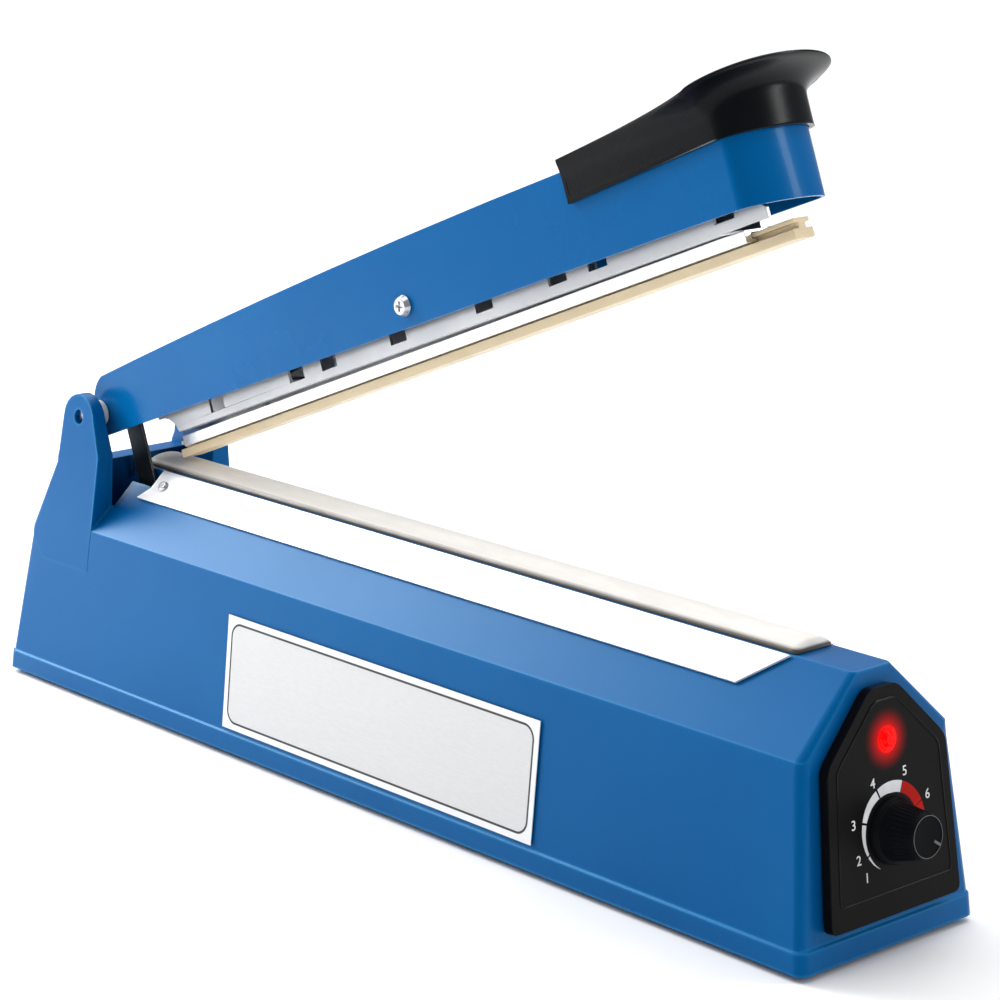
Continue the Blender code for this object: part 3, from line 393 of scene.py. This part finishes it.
def wound():
    """Tape wrapped round a winding, with the turns showing through."""
    g = Graph("winding_tape")
    turns = g.node("ShaderNodeTexWave", {"Vector": g.place(), "Scale": 190.0, "Distortion": 0.8,
                                         "Detail": 2.0}, bands_direction="Z").outputs["Fac"]
    cloud = g.noise(g.place(), 70.0, 5.0)
    colour = g.mix(g.span(cloud, 0.3, 0.7), (0.62, 0.42, 0.06), (0.48, 0.28, 0.03))
    return g.set(Base_Color=colour, Roughness=g.span(cloud, 0.3, 0.7, 0.3, 0.5),
                 Normal=g.bump(turns, 0.15 * MM))


def circuit():
    """Green board with lighter tracks under the mask."""
    g = Graph("circuit_board")
    cells = g.node("ShaderNodeTexVoronoi", {"Vector": g.place(), "Scale": 170.0},
                   distance="CHEBYCHEV", feature="DISTANCE_TO_EDGE").outputs["Distance"]
    tracks = g.span(cells, 0.10, 0.06)
    cloud = g.noise(g.place(), 120.0)
    base = g.mix(g.span(cloud, 0.3, 0.7), (0.02, 0.12, 0.04), (0.015, 0.09, 0.03))
    return g.set(Base_Color=g.mix(tracks, base, (0.05, 0.26, 0.09)),
                 Roughness=g.span(cloud, 0.3, 0.7, 0.28, 0.42), Normal=g.bump(tracks, 0.03 * MM))


# ---------------------------------------------------------------- housing and jaw

def dress_housing():
    paint("housing", blue_plastic(Vector(joints["arm_hinge"]["pos_m"])))
    soften("housing", 0.9, 3)
    paint("side_label", label_material())
    steel = brushed("zinc_plate", (0.60, 0.61, 0.63), (0.50, 0.52, 0.55), 0.34)
    paint("bottom_plate", steel)
    soften("bottom_plate", 0.25, 2)
    rubber = surface("foot_rubber", (0.012, 0.012, 0.013), (0.022, 0.022, 0.022), 0.72, 0.08,
                     80.0, 1500.0, 0.05)
    screw = surface("zinc_screw", (0.62, 0.63, 0.64), (0.46, 0.47, 0.50), 0.28, 0.08, 180.0,
                    1400.0, 0.01, Metallic=1.0)
    for end in ("rear", "front"):
        for side in ("near", "far"):
            paint(f"foot_{end}_{side}", rubber)
            soften(f"foot_{end}_{side}", 0.35, 2)
            paint(f"foot_screw_{end}_{side}", screw)
    for side in ("near", "far"):
        paint(f"plate_screw_{side}", screw)
        soften(f"plate_screw_{side}", 0.15, 2)
    paint("cord_inlet", black_plastic("inlet_black", 0.45))
    soften("cord_inlet", 0.3, 2)
    return screw


def cloth_fold(name, end, way, low, high, material):
    """Rounded end where the cloth is drawn down over the end of the rail."""
    half = (high.y - low.y) / 2
    rise = high.z - low.z
    rings = []
    for step in range(7):
        a = math.radians(13.5 * step)
        shrink = 0.34 + 0.66 * math.cos(a)
        x = end + way * 2.6 * MM * math.sin(a)
        ring = []
        for i in range(25):
            b = math.radians(7.5 * i)
            ring.append(Vector((x, half * math.cos(b) * (0.80 + 0.20 * shrink),
                                low.z + rise * math.sin(b) * shrink)))
        rings.append(ring)
    bm = bmesh.new()
    skin(bm, rings)
    return piece(name, bm, "base", material)


def dress_jaw():
    plate = surface("cover_plate_white", (0.90, 0.90, 0.91), (0.84, 0.845, 0.86), 0.30, 0.07, 3.0,
                    24.0, 0.010, (3, 120, 120), wear=(0.95, 0.95, 0.95), Metallic=0.35,
                    Specular_IOR_Level=0.6)
    for name in ("cover_plate_near", "cover_plate_far"):
        paint(name, plate)
        soften(name, 0.2, 2)
    cloth = cloth_material()
    paint("ptfe_cloth", cloth)
    low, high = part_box("ptfe_cloth")
    cloth_fold("cloth_fold_rear", low.x, -1, low, high, cloth)
    cloth_fold("cloth_fold_front", high.x, 1, low, high, cloth)
    paint("heating_rail", brushed("rail_aluminium", (0.78, 0.78, 0.79), (0.68, 0.68, 0.70), 0.35))
    paint("insulation_strip", surface("insulation_cloth", (0.45, 0.33, 0.18), (0.36, 0.26, 0.14),
                                      0.7, 0.08, 60.0, 1200.0, 0.05))
    paint("heating_band", brushed("nichrome_band", (0.52, 0.49, 0.45), (0.42, 0.38, 0.34), 0.3))
    brass = surface("terminal_brass", (0.70, 0.50, 0.20), (0.58, 0.40, 0.15), 0.3, 0.08, 120.0,
                    1300.0, 0.01, Metallic=1.0)
    paint("element_terminal_rear", brass)
    paint("element_terminal_front", brass)


def dress_electrics(screw):
    paint("transformer_core", laminated())
    paint("transformer_winding", wound())
    bracket = brushed("bracket_steel", (0.56, 0.57, 0.59), (0.47, 0.48, 0.5), 0.36)
    for name in ("transformer_foot", "switch_bracket", "switch_lever"):
        paint(name, bracket)
    paint("timer_board", circuit())
    paint("timer_relay", surface("relay_blue", (0.02, 0.05, 0.22), (0.02, 0.04, 0.17), 0.3, 0.06,
                                 90.0, 1500.0, 0.01))
    paint("timer_capacitor", surface("capacitor_black", (0.015, 0.015, 0.02), (0.03, 0.03, 0.045),
                                     0.3, 0.06, 90.0, 1500.0, 0.01))
    nylon = surface("natural_nylon", (0.78, 0.77, 0.73), (0.70, 0.69, 0.64), 0.42, 0.06, 90.0,
                    1600.0, 0.02, Subsurface_Weight=0.15, Subsurface_Scale=0.002)
    for name in ("terminal_strip", "switch_plunger", "hinge_bush_near", "hinge_bush_far"):
        paint(name, nylon)
    soften("hinge_bush_near", 0.3, 2)
    soften("hinge_bush_far", 0.3, 2)
    paint("switch_body", black_plastic("switch_black", 0.4))
    paint("potentiometer", bracket)
    paint("dial_shaft", screw)
    leads = (("lead_primary", (0.45, 0.02, 0.02)), ("lead_switch", (0.03, 0.09, 0.40)),
             ("lead_timer", (0.03, 0.09, 0.40)), ("lead_element_rear", (0.70, 0.67, 0.60)),
             ("lead_element_front", (0.70, 0.67, 0.60)))
    for name, colour in leads:
        tint = tuple(c * 0.8 for c in colour)
        paint(name, surface(f"{name}_sleeve", colour, tint, 0.42, 0.06, 60.0, 1500.0, 0.02))


# ---------------------------------------------------------------- dial end

class Dial:
    """Places on the leaning dial panel, in millimetres across and up from the shaft."""

    def __init__(self):
        joint = joints["timer_dial"]
        self.origin = Vector(joint["pos_m"])
        self.out = Vector(joint["axis"]).normalized()
        self.across = Vector((0, 1, 0))
        self.up = self.out.cross(self.across)
        self.face = reach("dial_panel", self.origin, self.out)[1]

    def at(self, y, z, lift):
        return self.origin + self.out * (self.face + lift * MM) + (self.across * y + self.up * z) * MM

    def turned(self, angle, radius, lift, centre=(0.0, 0.0)):
        """Place at an angle in degrees, counter-clockwise from the far side."""
        a = math.radians(angle)
        return self.at(centre[0] + radius * math.cos(a), centre[1] + radius * math.sin(a), lift)


RING_CENTRE = (0.4, 0.7)
RING_START = 238.0


def ring_edges(angle):
    """Inner and outer radius of the printed scale, which widens from its start."""
    grown = min(1.0, (RING_START - angle) / 148.0)
    outer = 13.9 + 1.5 * min(1.0, grown * 1.5)
    return outer - (0.12 + 3.7 * grown), outer


def scale_segment(dial, name, start, end, material):
    """Printed part of the scale between two angles."""
    steps = max(4, int((start - end) / 3))
    bm = bmesh.new()
    rings = []
    for i in range(steps + 1):
        angle = start + (end - start) * i / steps
        inner, outer = ring_edges(angle)
        rings.append([dial.turned(angle, radius, lift, RING_CENTRE)
                      for radius, lift in ((inner, 0.0), (outer, 0.0), (outer, 0.06), (inner, 0.06))])
    skin(bm, rings)
    return piece(name, bm, "base", material)


def numeral(dial, digit, y, z, size):
    """One digit of the scale as a thin mesh lying on the panel."""
    curve = bpy.data.curves.new(f"digit_{digit}", "FONT")
    curve.body = digit
    curve.size = size * MM
    curve.extrude = 0.03 * MM
    curve.offset = 0.03 * MM
    curve.align_x = "CENTER"
    curve.align_y = "CENTER"
    made = bpy.data.objects.new(f"digit_{digit}", curve)
    bpy.context.scene.collection.objects.link(made)
    bpy.context.view_layer.update()
    flat = bpy.data.meshes.new_from_object(made.evaluated_get(
        bpy.context.evaluated_depsgraph_get()))
    bpy.data.objects.remove(made)
    for vert in flat.vertices:
        local = vert.co / MM
        vert.co = dial.at(y + local.x, z + local.y, 0.03 + local.z)
    return flat


def numbers(dial, material):
    """Generic numbers 1 to 6 round the scale, as one piece."""
    bm = bmesh.new()
    places = (("1", -13.3, -12.6), ("2", -16.6, -6.2), ("3", -18.0, 5.6), ("4", -7.9, 16.9),
              ("5", 7.4, 17.9), ("6", 17.6, 8.0))
    for digit, y, z in places:
        flat = numeral(dial, digit, y, z, 4.6)
        bm.from_mesh(flat)
        bpy.data.meshes.remove(flat)
    return piece("dial_numbers", bm, "base", material)


def panel_border(dial, material):
    """Fine raised rib moulded round the panel, set in from its edge."""
    corners = [(-26.6, -19.6), (27.2, -19.6), (24.6, 24.4), (5.3, 43.2), (-5.3, 43.2), (-24.4, 24.4)]
    loop = []
    for i, corner in enumerate(corners):
        here = Vector(corner)
        before = here + (Vector(corners[i - 1]) - here).normalized() * 2.2
        after = here + (Vector(corners[(i + 1) % len(corners)]) - here).normalized() * 2.2
        for step in range(5):
            t = step / 4
            loop.append(before * (1 - t) ** 2 + 2 * here * t * (1 - t) + after * t ** 2)
    middle = Vector((0.0, 8.0))
    rings = []
    for point in loop:
        inward = (middle - point).normalized()
        profile = ((0.0, -0.02), (0.0, 0.16), (0.18, 0.26), (0.42, 0.26), (0.6, 0.16), (0.6, -0.02))
        rings.append([dial.at(*(point + inward * shift), lift) for shift, lift in profile])
    bm = bmesh.new()
    rows = [[bm.verts.new(p) for p in ring] for ring in rings]
    for a, b in zip(rows, rows[1:] + rows[:1]):
        for i in range(len(a)):
            j = (i + 1) % len(a)
            bm.faces.new((a[i], a[j], b[j], b[i]))
    return piece("panel_border", bm, "base", material)


def knob(dial, black, pale):
    """Turned profile with fine grip flutes, a rim line on the face and a pointer groove."""
    start, tip = reach("timer_knob", dial.origin, dial.out)
    base_radius = 11.0
    face_radius = 7.4
    length = (tip - start) / MM
    profile = [(0.0, base_radius - 0.5, 0), (0.25, base_radius, 0), (1.3, base_radius - 0.1, 0),
               (1.9, base_radius - 0.5, 0), (2.3, base_radius - 1.3, 0)]
    for i in range(9):
        t = i / 8
        flute = min(1.0, 4 * t, 5 * (1 - t))
        profile.append((3.0 + (length - 4.2) * t,
                        base_radius - 1.5 + (face_radius - base_radius + 1.7) * t, flute))
    profile += [(length - 0.7, face_radius, 0), (length - 0.25, face_radius - 0.2, 0),
                (length, face_radius - 0.6, 0), (length, face_radius - 0.75, 0),
                (length - 0.3, face_radius - 0.95, 0), (length - 0.42, face_radius * 0.5, 0),
                (length - 0.45, 0.6, 0)]
    count = 144
    rings = []
    for depth, radius, flute in profile:
        ring = []
        for i in range(count):
            angle = math.tau * i / count
            r = radius - 0.28 * flute * (0.5 + 0.5 * math.cos(36 * angle))
            ring.append(dial.origin + dial.out * (start + depth * MM)
                        + (dial.across * math.cos(angle) + dial.up * math.sin(angle)) * r * MM)
        rings.append(ring)
    bm = bmesh.new()
    skin(bm, rings)
    made = piece("knob_grip", bm, "knob", black, ("timer_knob",))

    def face_point(angle, radius, depth):
        a = math.radians(angle)
        return (dial.origin + dial.out * (start + (length + depth) * MM)
                + (dial.across * math.cos(a) + dial.up * math.sin(a)) * radius * MM)

    bm = bmesh.new()
    rings = [[face_point(360 * i / 96, radius, depth) for radius, depth in
              ((face_radius - 0.72, -0.04), (face_radius - 0.44, -0.04), (face_radius - 0.5, 0.02),
               (face_radius - 0.66, 0.02))] for i in range(96)]
    rows = [[bm.verts.new(p) for p in ring] for ring in rings]
    for a, b in zip(rows, rows[1:] + rows[:1]):
        for i in range(4):
            j = (i + 1) % 4
            bm.faces.new((a[i], a[j], b[j], b[i]))
    piece("knob_rim", bm, "knob", pale)

    bm = bmesh.new()
    angle = -35.0
    spread = [(3.6, 7.0), (face_radius - 0.45, 3.6)]
    low = [face_point(angle + s * a, r, -0.35) for r, a in spread for s in (-1, 1)]
    high = [face_point(angle + s * a, r, -0.12 if r < 5 else 0.02) for r, a in spread for s in (-1, 1)]
    order = (0, 1, 3, 2)
    skin(bm, [[low[i] for i in order], [high[i] for i in order]])
    piece("knob_pointer", bm, "knob", pale)
    return made


def lamp_flange(dial, lamp, material):
    """Thin flange of the lens round the lamp, which hides the gap to the panel."""
    bm = bmesh.new()
    rings = []
    for i in range(48):
        a = math.tau * i / 48
        ring = []
        for radius, lift in ((3.55, 0.02), (4.5, 0.02), (4.45, 0.10), (4.1, 0.16), (3.6, 0.14)):
            ring.append(dial.at(radius * math.cos(a), lamp + radius * math.sin(a), lift))
        rings.append(ring)
    rows = [[bm.verts.new(p) for p in ring] for ring in rings]
    for a, b in zip(rows, rows[1:] + rows[:1]):
        for i in range(5):
            j = (i + 1) % 5
            bm.faces.new((a[i], a[j], b[j], b[i]))
    return piece("lamp_flange", bm, "base", material)


def dress_dial():
    dial = Dial()
    low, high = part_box("indicator_lamp")
    lamp_centre = (low + high) / 2
    lamp_up = (lamp_centre - dial.origin).dot(dial.up) / MM
    paint("dial_panel", panel_material(dial.at(0, lamp_up, 0.0), dial.out))
    soften("dial_panel", 0.6, 3)
    lens = lamp_material()
    paint("indicator_lamp", lens)
    soften("indicator_lamp", 0.3, 3)
    gloss = black_plastic("panel_gloss", 0.18)
    panel_border(dial, gloss)
    lamp_flange(dial, lamp_up, lens)
    white = printed("scale_white", (0.78, 0.79, 0.80), (0.68, 0.69, 0.71))
    red = printed("scale_red", (0.50, 0.008, 0.003), (0.40, 0.006, 0.002))
    for name, start, end, ink in (("scale_1", RING_START, 209.0, white), ("scale_2", 206.0, 163.5, white),
                                  ("scale_3", 160.5, 117.5, white), ("scale_4", 114.5, 69.0, white),
                                  ("scale_5", 67.5, 24.0, red), ("scale_6", 22.5, -4.0, red)):
        scale_segment(dial, name, start, end, ink)
    numbers(dial, white)
    knob(dial, black_plastic("knob_black", 0.36, 1800.0, 0.02, 0.03),
         printed("knob_line", (0.16, 0.16, 0.16), (0.11, 0.11, 0.11)))


# ---------------------------------------------------------------- arm

def hinge_frame():
    """Pin place and the arm's directions at rest: along, up."""
    origin = Vector(joints["arm_hinge"]["pos_m"])
    pivot = Vector(joints["bar_pivot"]["pos_m"])
    along = (pivot - origin)
    tilt = math.atan2(along.z, along.x) + math.atan2(1.6, 203.1)
    along = Vector((math.cos(tilt), 0, math.sin(tilt)))
    return origin, along, Vector((-along.z, 0, along.x))


def grip_handle(origin, along, up, black):
    """Handle with a smoothly flared lip, rolled edge and a shallow dished top."""
    rear, nose_centre, reach_out, arm_half, skirt = 300.5, 372.5, 9.5, 19.5, 2.0
    half = arm_half + skirt
    plan = []
    straight = 26
    for i in range(straight):
        plan.append((rear + (nose_centre - rear) * i / straight, -half, 0.0, -1.0))
    for i in range(49):
        a = math.radians(-90 + 180 * i / 48)
        normal = Vector((math.cos(a) / reach_out, math.sin(a) / arm_half)).normalized()
        plan.append((nose_centre + reach_out * math.cos(a) + skirt * normal.x,
                     arm_half * math.sin(a) + skirt * normal.y, normal.x, normal.y))
    for i in range(straight):
        plan.append((nose_centre - (nose_centre - rear) * (i + 1) / straight, half, 0.0, 1.0))
    levels = [(0.02, None, 0.0), (0.0, None, 0.35), (0.0, None, 1.0), (0.0, -10.0, 0.0),
              (0.02, -8.2, 0.0), (0.08, -6.8, 0.0), (0.2, -5.3, 0.0), (0.38, -3.9, 0.0),
              (0.6, -2.7, 0.0), (0.82, -1.8, 0.0), (0.95, -1.25, 0.0), (1.0, -0.85, 0.0),
              (1.0, -0.45, 0.0), (0.97, -0.12, 0.0), (0.92, 0.0, 0.0), (0.84, -0.04, 0.0)]
    rings = []
    for share, drop, rise in levels:
        ring = []
        for u, y, nu, ny in plan:
            run = min(max((u - rear) / (nose_centre - rear), 0.0), 1.0)
            flare = share * (1.0 + 9.0 * run ** 3.0)
            lip = max(0.0, (u - nose_centre) / (reach_out + skirt)) ** 0.7 * 4.5
            crest = 26.3 + 0.050 * (u - rear) + lip
            height = 11.0 + 0.03 * (u - rear) + rise if drop is None else crest + drop
            ring.append(origin + along * (u + nu * flare) * MM + Vector((0, (y + ny * flare) * MM, 0))
                        + up * height * MM)
        rings.append(ring)
    bm = bmesh.new()
    rows = skin(bm, rings, cap_start=False, cap_end=False)
    count = len(plan)
    dish = []
    for pull, sink in ((0.10, 0.35), (0.3, 0.8), (0.6, 1.05), (0.92, 1.1)):
        row = []
        for i in range(count):
            j = count - 1 - i
            a, b = rows[-1][i].co, rows[-1][j].co
            middle = (a + b) / 2
            row.append(bm.verts.new(a.lerp(middle, pull) - up * sink * MM))
        dish.append(row)
    tops = [rows[-1]] + dish
    for a, b in zip(tops, tops[1:]):
        for i in range(count):
            j = (i + 1) % count
            bm.faces.new((a[i], a[j], b[j], b[i]))
    last = tops[-1]
    for i in range(count // 2):
        a, b = last[i], last[i + 1]
        c, d = last[count - 2 - i], last[count - 1 - i]
        if len({a, b, c, d}) == 4:
            bm.faces.new((a, b, c, d))
    inner = []
    for u, y, nu, ny in plan:
        inner.append(bm.verts.new(origin + along * (u - nu * (skirt - 0.35)) * MM
                                  + Vector((0, (y - ny * (skirt - 0.35)) * MM, 0))
                                  + up * (11.0 + 0.03 * (u - rear)) * MM))
    roof = [bm.verts.new(v.co + up * 11.2 * MM) for v in inner]
    for a, b in ((inner, rows[0]), (roof, inner)):
        for i in range(count):
            j = (i + 1) % count
            bm.faces.new((a[i], a[j], b[j], b[i]))
    for i in range(count // 2):
        a, b = roof[i], roof[i + 1]
        c, d = roof[count - 2 - i], roof[count - 1 - i]
        if len({a, b, c, d}) == 4:
            bm.faces.new((a, b, c, d))
    made = piece("grip_handle", bm, "arm", black, ("grip",))
    for side in (-1, 1):
        rib(f"grip_rib_{'near' if side < 0 else 'far'}", origin, along, up, side * half, black)
    return made


def rib(name, origin, along, up, y, material):
    """Thin moulded line inside the grip's side face, near its lower rear corner."""
    path = [(301.9, 23.5), (301.9, 14.5), (302.6, 13.2), (303.8, 12.7), (330.0, 13.4), (358.0, 14.3)]
    side = 1 if y > 0 else -1
    rings = []
    for i, (u, v) in enumerate(path):
        before = Vector(path[max(0, i - 1)])
        after = Vector(path[min(len(path) - 1, i + 1)])
        run = (after - before).normalized()
        square = Vector((-run.y, run.x))
        ring = []
        for shift, lift in ((-0.3, -0.1), (-0.2, 0.14), (0.2, 0.14), (0.3, -0.1)):
            place = Vector((u, v)) + square * shift
            ring.append(origin + along * place.x * MM + up * place.y * MM
                        + Vector((0, (y + side * lift) * MM, 0)))
        rings.append(ring)
    bm = bmesh.new()
    skin(bm, rings)
    return piece(name, bm, "arm", material)


def carrier_spring(along, up, wire):
    """Coil spring with closed ends between the carrier and the arm's back."""
    lean = math.radians(0.66)
    run = along * math.cos(lean) + up * math.sin(lean)
    rise = up * math.cos(lean) - along * math.sin(lean)
    foot = Vector(joints["bar_pivot"]["pos_m"]) - run * 95.0 * MM - rise * 12.2 * MM
    turns, per_turn, sides = 6, 28, 10
    side = run.cross(rise)

    def centre(i):
        turn = i / per_turn
        height = 29.4 * min(max((turn - 0.7) / (turns - 1.4), 0.0), 1.0)
        angle = math.tau * turn
        outward = run * math.cos(angle) - side * math.sin(angle)
        return foot + outward * 4.5 * MM + rise * height * MM

    rings = []
    for i in range(turns * per_turn + 1):
        ahead = (centre(i + 1) - centre(i - 1)).normalized()
        outward = (centre(i) - foot).cross(rise).cross(rise).normalized()
        outward = (outward - ahead * outward.dot(ahead)).normalized()
        square = ahead.cross(outward)
        rings.append([centre(i) + (outward * math.cos(math.tau * k / sides)
                                   + square * math.sin(math.tau * k / sides)) * 0.6 * MM
                      for k in range(sides)])
    bm = bmesh.new()
    skin(bm, rings)
    made = piece("carrier_spring", bm, "bar", wire, ("bar_spring",))
    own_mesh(made)
    return made


def dress_arm(screw):
    paint("arm_channel", blue_paint())
    soften("arm_channel", 0.5, 3)
    origin, along, up = hinge_frame()
    grip_handle(origin, along, up, black_plastic("grip_black", 0.25, 1300.0, 0.02, 0.10))
    # Painted shade and highlight: the near-black colour stands in for the shade the striker sits in under
    # the arm, and the pale edges stand in for its lit edge.
    striker_shade_and_glint = surface("striker_painted_shade", (0.030, 0.042, 0.045), (0.045, 0.055, 0.06), 0.34, 0.08, 90.0,
                   900.0, 0.02, wear=(0.5, 0.52, 0.52), wear_amount=0.9, Metallic=0.9)
    paint("switch_striker", striker_shade_and_glint)
    soften("switch_striker", 0.18, 2)
    for name in ("pivot_screw", "pivot_nut", "hinge_pin", "bar_stud_rear", "bar_stud_front"):
        paint(name, screw)
    soften("pivot_screw", 0.25, 3)
    soften("pivot_nut", 0.2, 2)
    soften("hinge_pin", 0.3, 2)
    wire = surface("spring_wire", (0.48, 0.48, 0.50), (0.36, 0.36, 0.38), 0.25, 0.06, 200.0,
                   1500.0, 0.01, Metallic=1.0)
    paint("lifting_spring", wire)
    carrier_spring(along, up, wire)
    grey = surface("carrier_grey", (0.50, 0.51, 0.52), (0.40, 0.41, 0.43), 0.36, 0.09, 20.0,
                   900.0, 0.02, wear=(0.75, 0.76, 0.78), Metallic=0.75)
    paint("pressure_carrier", grey)
    soften("pressure_carrier", 0.25, 2)
    bar = brushed("bar_aluminium", (0.90, 0.905, 0.91), (0.82, 0.825, 0.835), 0.30)
    paint("pressure_bar", bar)
    soften("pressure_bar", 0.25, 2)
    paint("silicone_strip", silicone_material())
    soften("silicone_strip", 0.25, 2)


# ---------------------------------------------------------------- studio

def floor():
    bm = bmesh.new()
    bmesh.ops.create_grid(bm, x_segments=1, y_segments=1, size=9.0)
    mesh = bpy.data.meshes.new("floor")
    bm.to_mesh(mesh)
    bm.free()
    g = Graph("floor_paper")
    fibre = g.noise(g.place(), 35.0, 4.0)
    mesh.materials.append(g.set(Base_Color=g.mix(fibre, (0.93, 0.93, 0.93), (0.95, 0.95, 0.95)),
                                Roughness=0.7, Specular_IOR_Level=0.2))
    item = bpy.data.objects.new("floor", mesh)
    bpy.context.scene.collection.objects.link(item)
    item.location = (0, 0, cad_box[0].z - 0.0002)


def soft_light(name, place, target, size, power, colour=(1, 1, 1)):
    data = bpy.data.lights.new(name, "AREA")
    data.shape = "RECTANGLE"
    data.size, data.size_y = size
    data.energy = power
    data.color = colour
    item = bpy.data.objects.new(name, data)
    bpy.context.scene.collection.objects.link(item)
    item.location = place
    item.rotation_mode = "QUATERNION"
    item.rotation_quaternion = (Vector(target) - Vector(place)).to_track_quat("-Z", "Y")
    return item


def lights():
    world = bpy.data.worlds.new("studio")
    world.use_nodes = True
    background = world.node_tree.nodes["Background"]
    background.inputs["Color"].default_value = (0.95, 0.97, 1.0, 1.0)
    background.inputs["Strength"].default_value = 0.37
    bpy.context.scene.world = world
    data = bpy.data.lights.new("sky_panel", "SUN")
    data.energy = 2.6
    data.angle = math.radians(80)
    key = bpy.data.objects.new("sky_panel", data)
    bpy.context.scene.collection.objects.link(key)
    key.rotation_mode = "QUATERNION"
    key.rotation_quaternion = Vector((0.28, -0.25, -0.93)).to_track_quat("-Z", "Y")
    soft_light("rear_box", (-1.50, -0.38, 1.04), (-0.1, 0, 0.1), (0.8, 0.8), 21.0)
    soft_light("left_box", (-0.80, -0.52, 0.50), (-0.15, 0, 0.1), (0.35, 0.35), 4.6)
    soft_light("right_strip", (1.2, 1.1, 0.78), (0.15, 0, 0.2), (0.26, 0.8), 7.5)
    bpy.context.scene.view_settings.view_transform = "Standard"


def camera():
    """Camera at the photograph's angle, aimed a little past the object's middle."""
    azimuth, elevation, distance = math.radians(48.206), math.radians(14.005), 1.1517
    aim = Vector((-0.00638, 0.03265, 0.10244))
    back = Vector((math.sin(azimuth) * math.cos(elevation),
                   -math.cos(azimuth) * math.cos(elevation), math.sin(elevation)))
    data = bpy.data.cameras.new("camera")
    data.lens = 111.1
    data.sensor_width = 36.0
    item = bpy.data.objects.new("camera", data)
    bpy.context.scene.collection.objects.link(item)
    item.location = aim + back * distance
    item.rotation_mode = "QUATERNION"
    item.rotation_quaternion = (-back).to_track_quat("-Z", "Y")
    bpy.context.scene.camera = item


camera()
floor()
lights()
zinc_screw = dress_housing()
dress_jaw()
dress_electrics(zinc_screw)
dress_dial()
dress_arm(zinc_screw)
